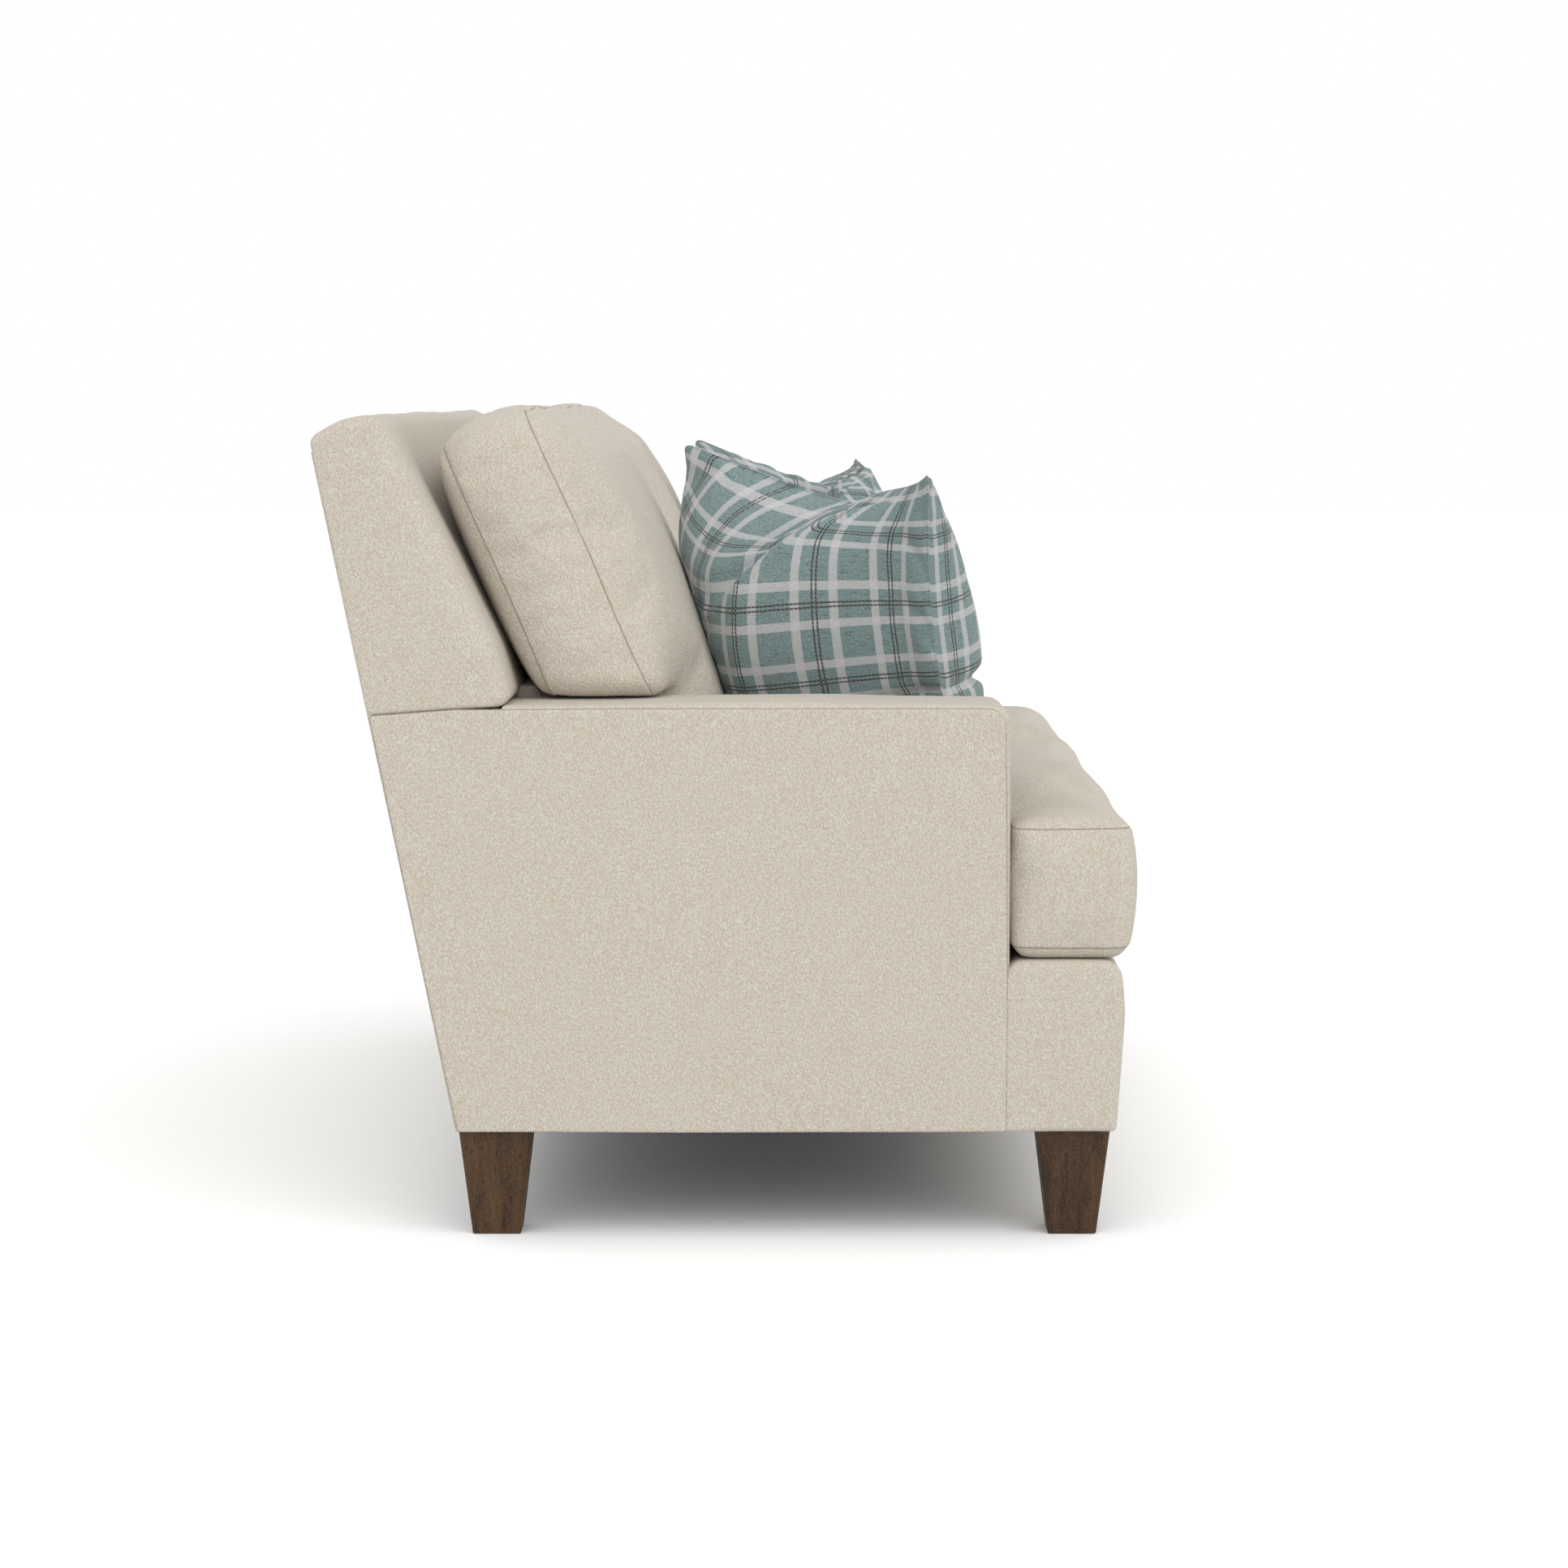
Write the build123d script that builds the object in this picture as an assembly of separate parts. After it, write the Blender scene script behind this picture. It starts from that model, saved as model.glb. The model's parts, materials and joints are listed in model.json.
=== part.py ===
"""A two-seat sofa with loose seat cushions, back cushions and throw pillows. Sizes are in millimetres.

The origin lies on the floor under the middle of the sofa, +Z is up, the sitter faces -Y, and the sitter's
right-hand side is -X. Right-hand pieces are drawn first and the left-hand ones are their mirror images.
"""

import math
import os

from build123d import *

# Overall sizes of the sofa
WIDTH = 1575.0
DEPTH = 962.0
BACK_HEIGHT = 967.0
ARM_HEIGHT = 630.0
ARM_WIDTH = 150.0
ARM_SETBACK = 147.0
DECK_HEIGHT = 330.0
LEG_HEIGHT = 127.0

# Raked back: the rake is from the vertical, the thicknesses are level, at arm height and at the top
OUTER_RAKE = 11.4
BACK_THICKNESS = 197.0
BACK_TOP_THICKNESS = 89.5
BACK_TOP_DROP = 27.0
CREST_REAR_RADIUS = 12.0
CREST_RADIUS = 60.0
CREST_FRONT_RADIUS = 26.0
BACK_END_RADIUS = 20.0
BACK_TOP_PAD = 42.0
BACK_PAD = 40.0
OUTSIDE_BACK = 5.0

# Upholstery over the frame
OUTER_PANEL = 6.5
ARM_PAD = 25.0
SEAM_LIP = 4.0
FRONT_LIP = 8.0
BORDER_INSET = 10.0
BORDER_PAD = 19.0
BORDER_TOP = 30.0
BORDER_UNDERCUT = 11.0
BORDER_TOP_RADIUS = 22.0
BORDER_FACE_RADIUS = 150.0
DECK_DROP = 2.0
DUST_COVER = 1.5

# Wooden frame
BOARD = 25.0
RAIL_HEIGHT = 150.0
REAR_RAIL_HEIGHT = 100.0
STRETCHER_HEIGHT = 50.0
BLOCK_LENGTH = 86.0
BLOCK_DEPTH = 60.0
BLOCK_HEIGHT = 60.0
LOWER_RAIL_HEIGHT = 50.0
TOP_RAIL_HEIGHT = 35.0
FOOT_WIDTH = 120.0

# Suspension
SPRING_COUNT = 8
SPRING_SPACING = 150.0
SPRING_WIDTH = 50.0
SPRING_BARS = 18
SPRING_WIRE = 3.8
CLIP_SHARE = 0.9
CLIP_LENGTH = 20.0
CLIP_BASE = 2.0
CLIP_WALL = 2.0
WIRE_PLAY = 0.3
TIE_WIRE = 3.0
TIE_WIRE_COUNT = 2
WEBBING = 2.0
WEBBING_WIDTH = 44.0
WEBBING_COUNT = 5

# Legs and their fittings
LEG_TOP = 86.0
LEG_FOOT = 57.0
LEG_EDGE = 2.5
LEG_SIDE_INSET = 12.0
LEG_FRONT_INSET = 18.0
LEG_REAR_INSET = 2.0
PLATE_SIZE = 60.0
PLATE_THICKNESS = 3.0
BOLT_RADIUS = 4.0
BOLT_PLAY = 0.2
BOLT_IN_LEG = 45.0
BOLT_IN_BLOCK = 48.0
BOLT_END_ROOM = 2.0
GLIDE_RADIUS = 14.0
GLIDE_THICKNESS = 6.0
GLIDE_SHOWING = 1.0

# Loose cushions
CUSHION_GAP = 1.5
REST_GAP = 0.5
EAR_INSET = 4.0
WRAP = 15.0
SEAT_BOXING = 140.0
SEAT_SEAM_RISE = 14.5
SEAT_CROWN = 40.0
SEAT_CROWN_REACH = 110.0
SEAT_CROWN_STEPS = ((0, 0), (0.38, 0.16), (0.74, 0.45), (1.0, 1.0))
SEAT_BULGE = 5.0
SEAT_PULL = 5.0
SEAT_REAR_GAP = 6.0
BACK_CUSHION_TILT = 24.0
BACK_CUSHION_BOXING = 107.0
BACK_CUSHION_RISE = 347.0
BACK_CUSHION_CROWN = 70.0
BACK_CUSHION_REACH = 135.0
BACK_CUSHION_BULGE = 20.0
BACK_CUSHION_LEAN = 20.0
BACK_CUSHION_PULL = 8.0
BACK_EAR = 77.0

# Throw pillows: the lean is from the vertical, the turn is from the line of the arm
PILLOW_SPAN = 440.0
PILLOW_HEIGHT = 408.0
PILLOW_THICKNESS = 190.0
PILLOW_PULL = 14.0
PILLOW_DIP = 42.0
PILLOW_DROOP = 28.0
PILLOW_LEAN = 10.0
PILLOW_TURN_RIGHT = 47.5
PILLOW_TURN_LEFT = 58.0
PILLOW_ARM_GAP = 16.0
PILLOW_TIP_SET = 17.5
PILLOW_REST_GAP = 1.75
PILLOW_WALL = 8.0
PILLOW_INSERT = 0.7

# Zips of the cushion covers
ZIP_LENGTH = 480.0
ZIP_POCKET_WIDTH = 18.0
ZIP_POCKET_DEPTH = 9.0
ZIP_TAPE = 1.0
ZIP_TEETH_WIDTH = 6.0
ZIP_TEETH_HEIGHT = 2.5
SLIDER_LENGTH = 9.0
SLIDER_WIDTH = 10.0
SLIDER_HEIGHT = 5.0
SLIDER_PLAY = 0.4
PULL_LENGTH = 22.0
PULL_WIDTH = 6.0
PULL_THICKNESS = 1.4

# Places that follow from the sizes above
HALF_WIDTH = WIDTH / 2
FRONT = -DEPTH / 2
REAR = DEPTH / 2
CORNER_HEIGHT = BACK_HEIGHT - BACK_TOP_DROP
CAP_BOTTOM = BACK_HEIGHT - BACK_TOP_PAD
ARM_FRONT = FRONT + ARM_SETBACK
X_PANEL = -HALF_WIDTH + OUTER_PANEL
X_BOARD = X_PANEL + BOARD
X_ARM = -HALF_WIDTH + ARM_WIDTH
X_ARM_PAD = X_ARM - ARM_PAD
RAIL_BOTTOM = LEG_HEIGHT + PLATE_THICKNESS
RAIL_TOP = RAIL_BOTTOM + RAIL_HEIGHT
STRETCHER_TOP = RAIL_BOTTOM + STRETCHER_HEIGHT
BLOCK_TOP = RAIL_BOTTOM + BLOCK_HEIGHT
RAIL_FRONT = FRONT + BORDER_INSET + BORDER_PAD
RAIL_BACK = RAIL_FRONT + BOARD
CLIP_HOLE = SPRING_WIRE / 2 + WIRE_PLAY
SPRING_HEIGHT = RAIL_TOP + CLIP_BASE + CLIP_HOLE
DECK_BOTTOM = SPRING_HEIGHT + SPRING_WIRE / 2 + REST_GAP
DECK_TOP = DECK_HEIGHT - DECK_DROP
BORDER_BOTTOM = DECK_HEIGHT - BORDER_TOP
ARM_PAD_BOTTOM = ARM_HEIGHT - ARM_PAD
ARM_RAIL_BOTTOM = ARM_PAD_BOTTOM - BOARD
FRAME_FACE = BACK_PAD + WEBBING
INSIDE_BACK_BOTTOM = SPRING_HEIGHT + CLIP_HOLE + CLIP_WALL + REST_GAP
SEAT_BOTTOM = DECK_HEIGHT + REST_GAP
SEAT_LOW_SEAM = SEAT_BOTTOM + SEAT_SEAM_RISE
SEAT_HIGH_SEAM = SEAT_LOW_SEAM + SEAT_BOXING
SEAT_TOP = SEAT_HIGH_SEAM + SEAT_CROWN


def outer_line(height, inset=0.0):
    """Return Y of the raked rear face at a height, moved inwards by an inset square to the face."""
    angle = math.radians(OUTER_RAKE)
    return REAR - (CORNER_HEIGHT - height) * math.tan(angle) - inset / math.cos(angle)


def inner_line(height, inset=0.0):
    """Return Y of the raked inside back at a height, moved into the back by an inset square to the face."""
    start = outer_line(ARM_HEIGHT) - BACK_THICKNESS
    end = outer_line(BACK_HEIGHT) - BACK_TOP_THICKNESS
    angle = math.atan((end - start) / (BACK_HEIGHT - ARM_HEIGHT))
    return start + (height - ARM_HEIGHT) * math.tan(angle) + inset / math.cos(angle)


def box(x0, x1, y0, y1, z0, z1):
    """Return a box between two corners."""
    middle = Pos((x0 + x1) / 2, (y0 + y1) / 2, (z0 + z1) / 2)
    return middle * Box(abs(x1 - x0), abs(y1 - y0), abs(z1 - z0))


def both_sides(shape):
    """Return a shape and its mirror image on the other side of the sofa."""
    return shape, mirror(shape, about=Plane.YZ)


def solids(shapes):
    """Return one compound that holds the solids of several shapes side by side."""
    found = []
    for shape in shapes:
        found.extend(shape.solids())
    return Compound(found)


def profile_face(points):
    """Return a face in the YZ plane from (y, z, corner radius) points, with round corners where asked."""
    count = len(points)
    ends = []
    for index in range(count):
        here = Vector(0, points[index][0], points[index][1])
        before = Vector(0, points[index - 1][0], points[index - 1][1])
        after = Vector(0, points[(index + 1) % count][0], points[(index + 1) % count][1])
        radius = points[index][2]
        back = (before - here).normalized()
        ahead = (after - here).normalized()
        half = math.radians(back.get_angle(ahead)) / 2
        if radius <= 0:
            ends.append((here, here, here))
        else:
            reach = radius / math.tan(half)
            bisector = (back + ahead).normalized()
            nearest = here + bisector * (radius / math.sin(half) - radius)
            ends.append((here + back * reach, nearest, here + ahead * reach))
    edges = []
    for index in range(count):
        start, nearest, end = ends[index]
        if (end - start).length > 1e-6:
            edges.append(Edge.make_three_point_arc(start, nearest, end))
        edges.append(Edge.make_line(end, ends[(index + 1) % count][0]))
    return Face(Wire(edges))


def prism(points, x0, x1):
    """Return a profile in the YZ plane drawn out along X between two places."""
    return extrude(Pos(x0, 0, 0) * profile_face(points), x1 - x0, dir=(1, 0, 0))


def outline_face(points, height):
    """Return a level face from (x, y, pull) points; pull draws the edge from there inwards as an arc."""
    count = len(points)
    edges = []
    for index in range(count):
        start = Vector(points[index][0], points[index][1], height)
        end = Vector(points[(index + 1) % count][0], points[(index + 1) % count][1], height)
        pull = points[index][2]
        if pull == 0:
            edges.append(Edge.make_line(start, end))
        else:
            along = (end - start).normalized()
            inwards = Vector(-along.Y, along.X, 0)
            edges.append(Edge.make_three_point_arc(start, (start + end) * 0.5 + inwards * pull, end))
    return Face(Wire(edges))


def make_front_rail():
    """Return the front rail of the base."""
    return box(X_PANEL, -X_PANEL, RAIL_FRONT, RAIL_BACK, RAIL_BOTTOM, RAIL_TOP)


def rear_rail_face():
    """Return Y of the front face of the rear rail."""
    return outer_line(RAIL_BOTTOM, OUTSIDE_BACK) - BOARD


def make_rear_rail():
    """Return the rear rail of the base, between the end posts of the back."""
    face = rear_rail_face()
    end = X_BOARD + BOARD
    return box(end, -end, face, face + BOARD, RAIL_BOTTOM, RAIL_BOTTOM + REAR_RAIL_HEIGHT)


def spring_rail_back():
    """Return Y of the rear face of the rail that holds the rear ends of the springs."""
    return inner_line(RAIL_TOP, FRAME_FACE)


def make_spring_rail():
    """Return the rail that holds the rear ends of the springs."""
    back = spring_rail_back()
    return box(X_BOARD, -X_BOARD, back - BOARD, back, STRETCHER_TOP, RAIL_TOP)


def make_side_rail():
    """Return the right-hand side rail of the base, with a raked rear end."""
    points = [
        (RAIL_BACK, RAIL_BOTTOM, 0),
        (outer_line(RAIL_BOTTOM, OUTSIDE_BACK), RAIL_BOTTOM, 0),
        (outer_line(RAIL_TOP, OUTSIDE_BACK), RAIL_TOP, 0),
        (RAIL_BACK, RAIL_TOP, 0),
    ]
    return prism(points, X_PANEL, X_BOARD)


def make_center_stretcher():
    """Return the stretcher from the front rail to the rear rail under the middle of the seat."""
    return box(-BOARD / 2, BOARD / 2, RAIL_BACK, rear_rail_face(), RAIL_BOTTOM, STRETCHER_TOP)


def leg_places():
    """Return the X and Y of each leg: front right, front left, rear right, rear left."""
    x = -HALF_WIDTH + LEG_SIDE_INSET + LEG_TOP / 2
    front = FRONT + BORDER_INSET + LEG_FRONT_INSET + LEG_TOP / 2
    rear = outer_line(LEG_HEIGHT) - LEG_REAR_INSET - LEG_TOP / 2
    return [(x, front), (-x, front), (x, rear), (-x, rear)]


def make_corner_blocks():
    """Return the four blocks in the corners of the base, bored for the leg bolts."""
    front = box(X_BOARD, X_BOARD + BLOCK_LENGTH, RAIL_BACK, RAIL_BACK + BLOCK_DEPTH, RAIL_BOTTOM, BLOCK_TOP)
    face = rear_rail_face()
    rear = box(X_BOARD, X_BOARD + BLOCK_LENGTH, face - BLOCK_DEPTH, face, RAIL_BOTTOM, BLOCK_TOP)
    blocks = []
    for block in (front, rear):
        blocks.extend(both_sides(block))
    bored = []
    for block, place in zip(blocks, leg_places()):
        depth = BOLT_IN_BLOCK + BOLT_END_ROOM
        bore = Cylinder(BOLT_RADIUS + BOLT_PLAY, depth, align=(Align.CENTER, Align.CENTER, Align.MIN))
        bored.append(block - Pos(place[0], place[1], RAIL_BOTTOM) * bore)
    return solids(bored)


def make_arm_front_post():
    """Return the upright board at the front of the right-hand arm."""
    front = ARM_FRONT + ARM_PAD
    return box(X_BOARD, X_ARM_PAD, front, front + BOARD, RAIL_BOTTOM, ARM_RAIL_BOTTOM)


def make_arm_top_rail():
    """Return the board under the top of the right-hand arm, cut to the rake of the back frame."""
    points = [
        (ARM_FRONT + ARM_PAD, ARM_RAIL_BOTTOM, 0),
        (inner_line(ARM_RAIL_BOTTOM, FRAME_FACE), ARM_RAIL_BOTTOM, 0),
        (inner_line(ARM_PAD_BOTTOM, FRAME_FACE), ARM_PAD_BOTTOM, 0),
        (ARM_FRONT + ARM_PAD, ARM_PAD_BOTTOM, 0),
    ]
    return prism(points, X_PANEL, X_ARM_PAD)


def make_back_end_post():
    """Return the tapered plywood end of the back frame on the right-hand side."""
    foot = outer_line(BLOCK_TOP, OUTSIDE_BACK)
    points = [
        (foot - FOOT_WIDTH, BLOCK_TOP, 0),
        (foot, BLOCK_TOP, 0),
        (outer_line(CAP_BOTTOM, OUTSIDE_BACK), CAP_BOTTOM, 0),
        (inner_line(CAP_BOTTOM, FRAME_FACE), CAP_BOTTOM, 0),
        (inner_line(DECK_HEIGHT, FRAME_FACE), DECK_HEIGHT, 0),
    ]
    return prism(points, X_BOARD, X_BOARD + BOARD)


def make_back_center_post():
    """Return the middle upright of the back frame, from the stretcher to the top rail."""
    rail_back = spring_rail_back()
    top = CAP_BOTTOM - TOP_RAIL_HEIGHT
    foot = outer_line(STRETCHER_TOP, OUTSIDE_BACK) - BOARD - OUTSIDE_BACK
    points = [
        (rail_back, STRETCHER_TOP, 0),
        (foot, STRETCHER_TOP, 0),
        (outer_line(top, OUTSIDE_BACK), top, 0),
        (inner_line(top, FRAME_FACE), top, 0),
        (inner_line(RAIL_TOP, FRAME_FACE), RAIL_TOP, 0),
    ]
    post = prism(points, -BOARD / 2, BOARD / 2)
    face = rear_rail_face()
    rail_space = box(-BOARD, BOARD, face, face + 4 * BOARD, RAIL_BOTTOM, RAIL_BOTTOM + REAR_RAIL_HEIGHT)
    return post - rail_space


def make_back_top_rail():
    """Return the rail along the top of the back frame, between the end posts."""
    low = CAP_BOTTOM - TOP_RAIL_HEIGHT
    points = [
        (inner_line(low, FRAME_FACE), low, 0),
        (outer_line(low, OUTSIDE_BACK), low, 0),
        (outer_line(CAP_BOTTOM, OUTSIDE_BACK), CAP_BOTTOM, 0),
        (inner_line(CAP_BOTTOM, FRAME_FACE), CAP_BOTTOM, 0),
    ]
    return prism(points, X_BOARD + BOARD, -X_BOARD - BOARD)


def make_back_lower_rails():
    """Return the two rails that carry the lower edge of the inside back, either side of the middle post."""
    high = DECK_HEIGHT + LOWER_RAIL_HEIGHT
    points = [
        (inner_line(DECK_HEIGHT, FRAME_FACE), DECK_HEIGHT, 0),
        (inner_line(DECK_HEIGHT, FRAME_FACE + BOARD), DECK_HEIGHT, 0),
        (inner_line(high, FRAME_FACE + BOARD), high, 0),
        (inner_line(high, FRAME_FACE), high, 0),
    ]
    return solids(both_sides(prism(points, X_BOARD + BOARD, -BOARD / 2)))


def spring_ends():
    """Return Y of the front and rear end bars of the seat springs."""
    return RAIL_FRONT + BOARD / 2, spring_rail_back() - BOARD / 2


def spring_columns():
    """Return the X of the middle of each seat spring."""
    first = -SPRING_SPACING * (SPRING_COUNT - 1) / 2
    return [first + SPRING_SPACING * index for index in range(SPRING_COUNT)]


def spring_pitch():
    """Return the distance between neighbouring bars of a seat spring."""
    first, last = spring_ends()
    return (last - first) / (SPRING_BARS - 1)


def make_spring():
    """Return one zigzag seat spring along Y: straight bars across, joined by half-round bends."""
    first, last = spring_ends()
    pitch = spring_pitch()
    bend = pitch / 2
    reach = SPRING_WIDTH / 2 - bend
    edges = []
    for index in range(SPRING_BARS):
        y = first + pitch * index
        side = 1 if index % 2 == 0 else -1
        edges.append(Edge.make_line((-side * reach, y, SPRING_HEIGHT), (side * reach, y, SPRING_HEIGHT)))
        if index < SPRING_BARS - 1:
            slant = bend * math.sqrt(0.5)
            start = (side * reach, y, SPRING_HEIGHT)
            early = (side * (reach + slant), y + bend - slant, SPRING_HEIGHT)
            crest = (side * (reach + bend), y + bend, SPRING_HEIGHT)
            late = (side * (reach + slant), y + bend + slant, SPRING_HEIGHT)
            end = (side * reach, y + pitch, SPRING_HEIGHT)
            edges.append(Edge.make_three_point_arc(start, early, crest))
            edges.append(Edge.make_three_point_arc(crest, late, end))
    section = Plane(origin=(-reach, first, SPRING_HEIGHT), z_dir=(1, 0, 0)) * Circle(SPRING_WIRE / 2)
    return sweep(section, path=Wire(edges))


def make_seat_springs():
    """Return the row of seat springs."""
    spring = make_spring()
    return solids([Pos(x, 0, 0) * spring for x in spring_columns()])


def make_spring_clips():
    """Return the clips that hold both ends of every seat spring on the rails."""
    across = CLIP_SHARE * (SPRING_WIDTH - spring_pitch())
    height = CLIP_BASE + 2 * CLIP_HOLE + CLIP_WALL
    width = 2 * (CLIP_HOLE + CLIP_WALL)
    base = Pos(0, 0, RAIL_TOP + CLIP_BASE / 2) * Box(across, CLIP_LENGTH, CLIP_BASE)
    bridge = Pos(0, 0, RAIL_TOP + height / 2) * Box(across, width, height)
    slot = Pos(0, 0, SPRING_HEIGHT) * Box(2 * across, 2 * CLIP_HOLE, 2 * CLIP_HOLE)
    clip = base + bridge - slot
    return solids([Pos(x, y, 0) * clip for x in spring_columns() for y in spring_ends()])


def make_spring_tie_wires():
    """Return the straight wires that run across under the springs."""
    first, last = spring_ends()
    length = SPRING_SPACING * (SPRING_COUNT - 1) + SPRING_WIDTH
    height = SPRING_HEIGHT - (SPRING_WIRE + TIE_WIRE) / 2 - WIRE_PLAY
    wires = []
    for index in range(TIE_WIRE_COUNT):
        y = first + (last - first) * (index + 1) / (TIE_WIRE_COUNT + 1)
        wires.append(Pos(0, y, height) * Rot(0, 90, 0) * Cylinder(TIE_WIRE / 2, length))
    return solids(wires)


def make_back_webbing():
    """Return the elastic straps across the back frame, behind the inside back."""
    low = DECK_HEIGHT + LOWER_RAIL_HEIGHT + WEBBING_WIDTH / 2
    high = CAP_BOTTOM - TOP_RAIL_HEIGHT - WEBBING_WIDTH
    below_arm = ARM_RAIL_BOTTOM - WEBBING_WIDTH - REST_GAP
    above_arm = ARM_HEIGHT + WEBBING_WIDTH / 2
    starts = [low, below_arm]
    upper = WEBBING_COUNT - len(starts)
    for index in range(upper):
        starts.append(above_arm + (high - above_arm) * index / (upper - 1))
    straps = []
    for start in starts:
        end = start + WEBBING_WIDTH
        points = [
            (inner_line(start, BACK_PAD), start, 0),
            (inner_line(start, FRAME_FACE), start, 0),
            (inner_line(end, FRAME_FACE), end, 0),
            (inner_line(end, BACK_PAD), end, 0),
        ]
        straps.append(prism(points, X_BOARD, -X_BOARD))
    return solids(straps)


def make_seat_deck():
    """Return the padded deck between the arms, on top of the springs."""
    points = [
        (ARM_FRONT, DECK_BOTTOM, 0),
        (inner_line(DECK_BOTTOM), DECK_BOTTOM, 0),
        (inner_line(DECK_TOP), DECK_TOP, 0),
        (ARM_FRONT, DECK_TOP, 0),
    ]
    return prism(points, X_ARM, -X_ARM)


def make_outside_arm():
    """Return the flat outer panel of the right-hand arm, from the front seam to the rear face."""
    seam = ARM_HEIGHT - SEAM_LIP
    notch = inner_line(ARM_HEIGHT)
    points = [
        (ARM_FRONT, LEG_HEIGHT, 0),
        (outer_line(LEG_HEIGHT, OUTSIDE_BACK), LEG_HEIGHT, 0),
        (outer_line(ARM_HEIGHT, OUTSIDE_BACK), ARM_HEIGHT, 0),
        (notch, ARM_HEIGHT, 0),
        (notch, seam, 0),
        (ARM_FRONT + FRONT_LIP, seam, 0),
        (ARM_FRONT + FRONT_LIP, DECK_HEIGHT, 0),
        (ARM_FRONT, DECK_HEIGHT, 0),
    ]
    return prism(points, -HALF_WIDTH, X_PANEL)


def make_arm_wrap():
    """Return the padded cover over the inside, top and front of the right-hand arm."""
    corner = ARM_PAD * 0.6
    inside = [
        (ARM_FRONT, DECK_HEIGHT, 0),
        (ARM_FRONT + ARM_PAD, DECK_HEIGHT, 0),
        (ARM_FRONT + ARM_PAD, DECK_BOTTOM, 0),
        (inner_line(DECK_BOTTOM, BACK_PAD), DECK_BOTTOM, 0),
        (inner_line(ARM_HEIGHT, BACK_PAD), ARM_HEIGHT, 0),
        (ARM_FRONT, ARM_HEIGHT, corner),
    ]
    across = [
        (ARM_FRONT, DECK_HEIGHT, 0),
        (ARM_FRONT + ARM_PAD, DECK_HEIGHT, 0),
        (ARM_FRONT + ARM_PAD, ARM_PAD_BOTTOM, 0),
        (inner_line(ARM_PAD_BOTTOM, BACK_PAD), ARM_PAD_BOTTOM, 0),
        (inner_line(ARM_HEIGHT, BACK_PAD), ARM_HEIGHT, 0),
        (ARM_FRONT, ARM_HEIGHT, corner),
    ]
    lip = [
        (ARM_FRONT, DECK_HEIGHT, 0),
        (ARM_FRONT + FRONT_LIP, DECK_HEIGHT, 0),
        (ARM_FRONT + FRONT_LIP, ARM_HEIGHT - SEAM_LIP, 0),
        (inner_line(ARM_HEIGHT), ARM_HEIGHT - SEAM_LIP, 0),
        (inner_line(ARM_HEIGHT), ARM_HEIGHT, 0),
        (ARM_FRONT, ARM_HEIGHT, corner),
    ]
    wall = prism(inside, X_ARM_PAD, X_ARM)
    top = prism(across, X_PANEL, X_ARM)
    edge = prism(lip, -HALF_WIDTH, X_ARM)
    return wall + top + edge


def back_crest():
    """Return the round-cornered points over the top of the back, from the rear corner to the front."""
    middle = REAR - (REAR - inner_line(BACK_HEIGHT)) * 0.42
    rise = BACK_HEIGHT - BACK_TOP_DROP * 0.22
    return [
        (REAR, CORNER_HEIGHT, CREST_REAR_RADIUS),
        (middle, rise, CREST_RADIUS),
        (inner_line(BACK_HEIGHT), BACK_HEIGHT, CREST_FRONT_RADIUS),
    ]


def make_inside_back():
    """Return the padded inside back: between the arms, then full width and over the top above them."""
    upper = [
        (inner_line(ARM_HEIGHT), ARM_HEIGHT, 0),
        (inner_line(ARM_HEIGHT, BACK_PAD), ARM_HEIGHT, 0),
        (inner_line(CAP_BOTTOM, BACK_PAD), CAP_BOTTOM, 0),
        (outer_line(CAP_BOTTOM), CAP_BOTTOM, 0),
    ]
    lower = [
        (inner_line(INSIDE_BACK_BOTTOM), INSIDE_BACK_BOTTOM, 0),
        (inner_line(INSIDE_BACK_BOTTOM, BACK_PAD), INSIDE_BACK_BOTTOM, 0),
        (inner_line(ARM_HEIGHT, BACK_PAD), ARM_HEIGHT, 0),
        (inner_line(ARM_HEIGHT), ARM_HEIGHT, 0),
    ]
    return prism(upper + back_crest(), X_PANEL, -X_PANEL) + prism(lower, X_ARM, -X_ARM)


def make_back_end():
    """Return the padded end panel of the back, standing on the right-hand arm."""
    base = [
        (inner_line(ARM_HEIGHT), ARM_HEIGHT, BACK_END_RADIUS),
        (outer_line(ARM_HEIGHT, OUTSIDE_BACK), ARM_HEIGHT, 0),
        (outer_line(CAP_BOTTOM, OUTSIDE_BACK), CAP_BOTTOM, 0),
        (outer_line(CAP_BOTTOM), CAP_BOTTOM, 0),
    ]
    return prism(base + back_crest(), -HALF_WIDTH, X_PANEL)


def make_outside_back():
    """Return the flat panel over the whole rear of the sofa."""
    points = [
        (outer_line(LEG_HEIGHT, OUTSIDE_BACK), LEG_HEIGHT, 0),
        (outer_line(LEG_HEIGHT), LEG_HEIGHT, 0),
        (outer_line(CAP_BOTTOM), CAP_BOTTOM, 0),
        (outer_line(CAP_BOTTOM, OUTSIDE_BACK), CAP_BOTTOM, 0),
    ]
    return prism(points, -HALF_WIDTH, HALF_WIDTH)


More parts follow.
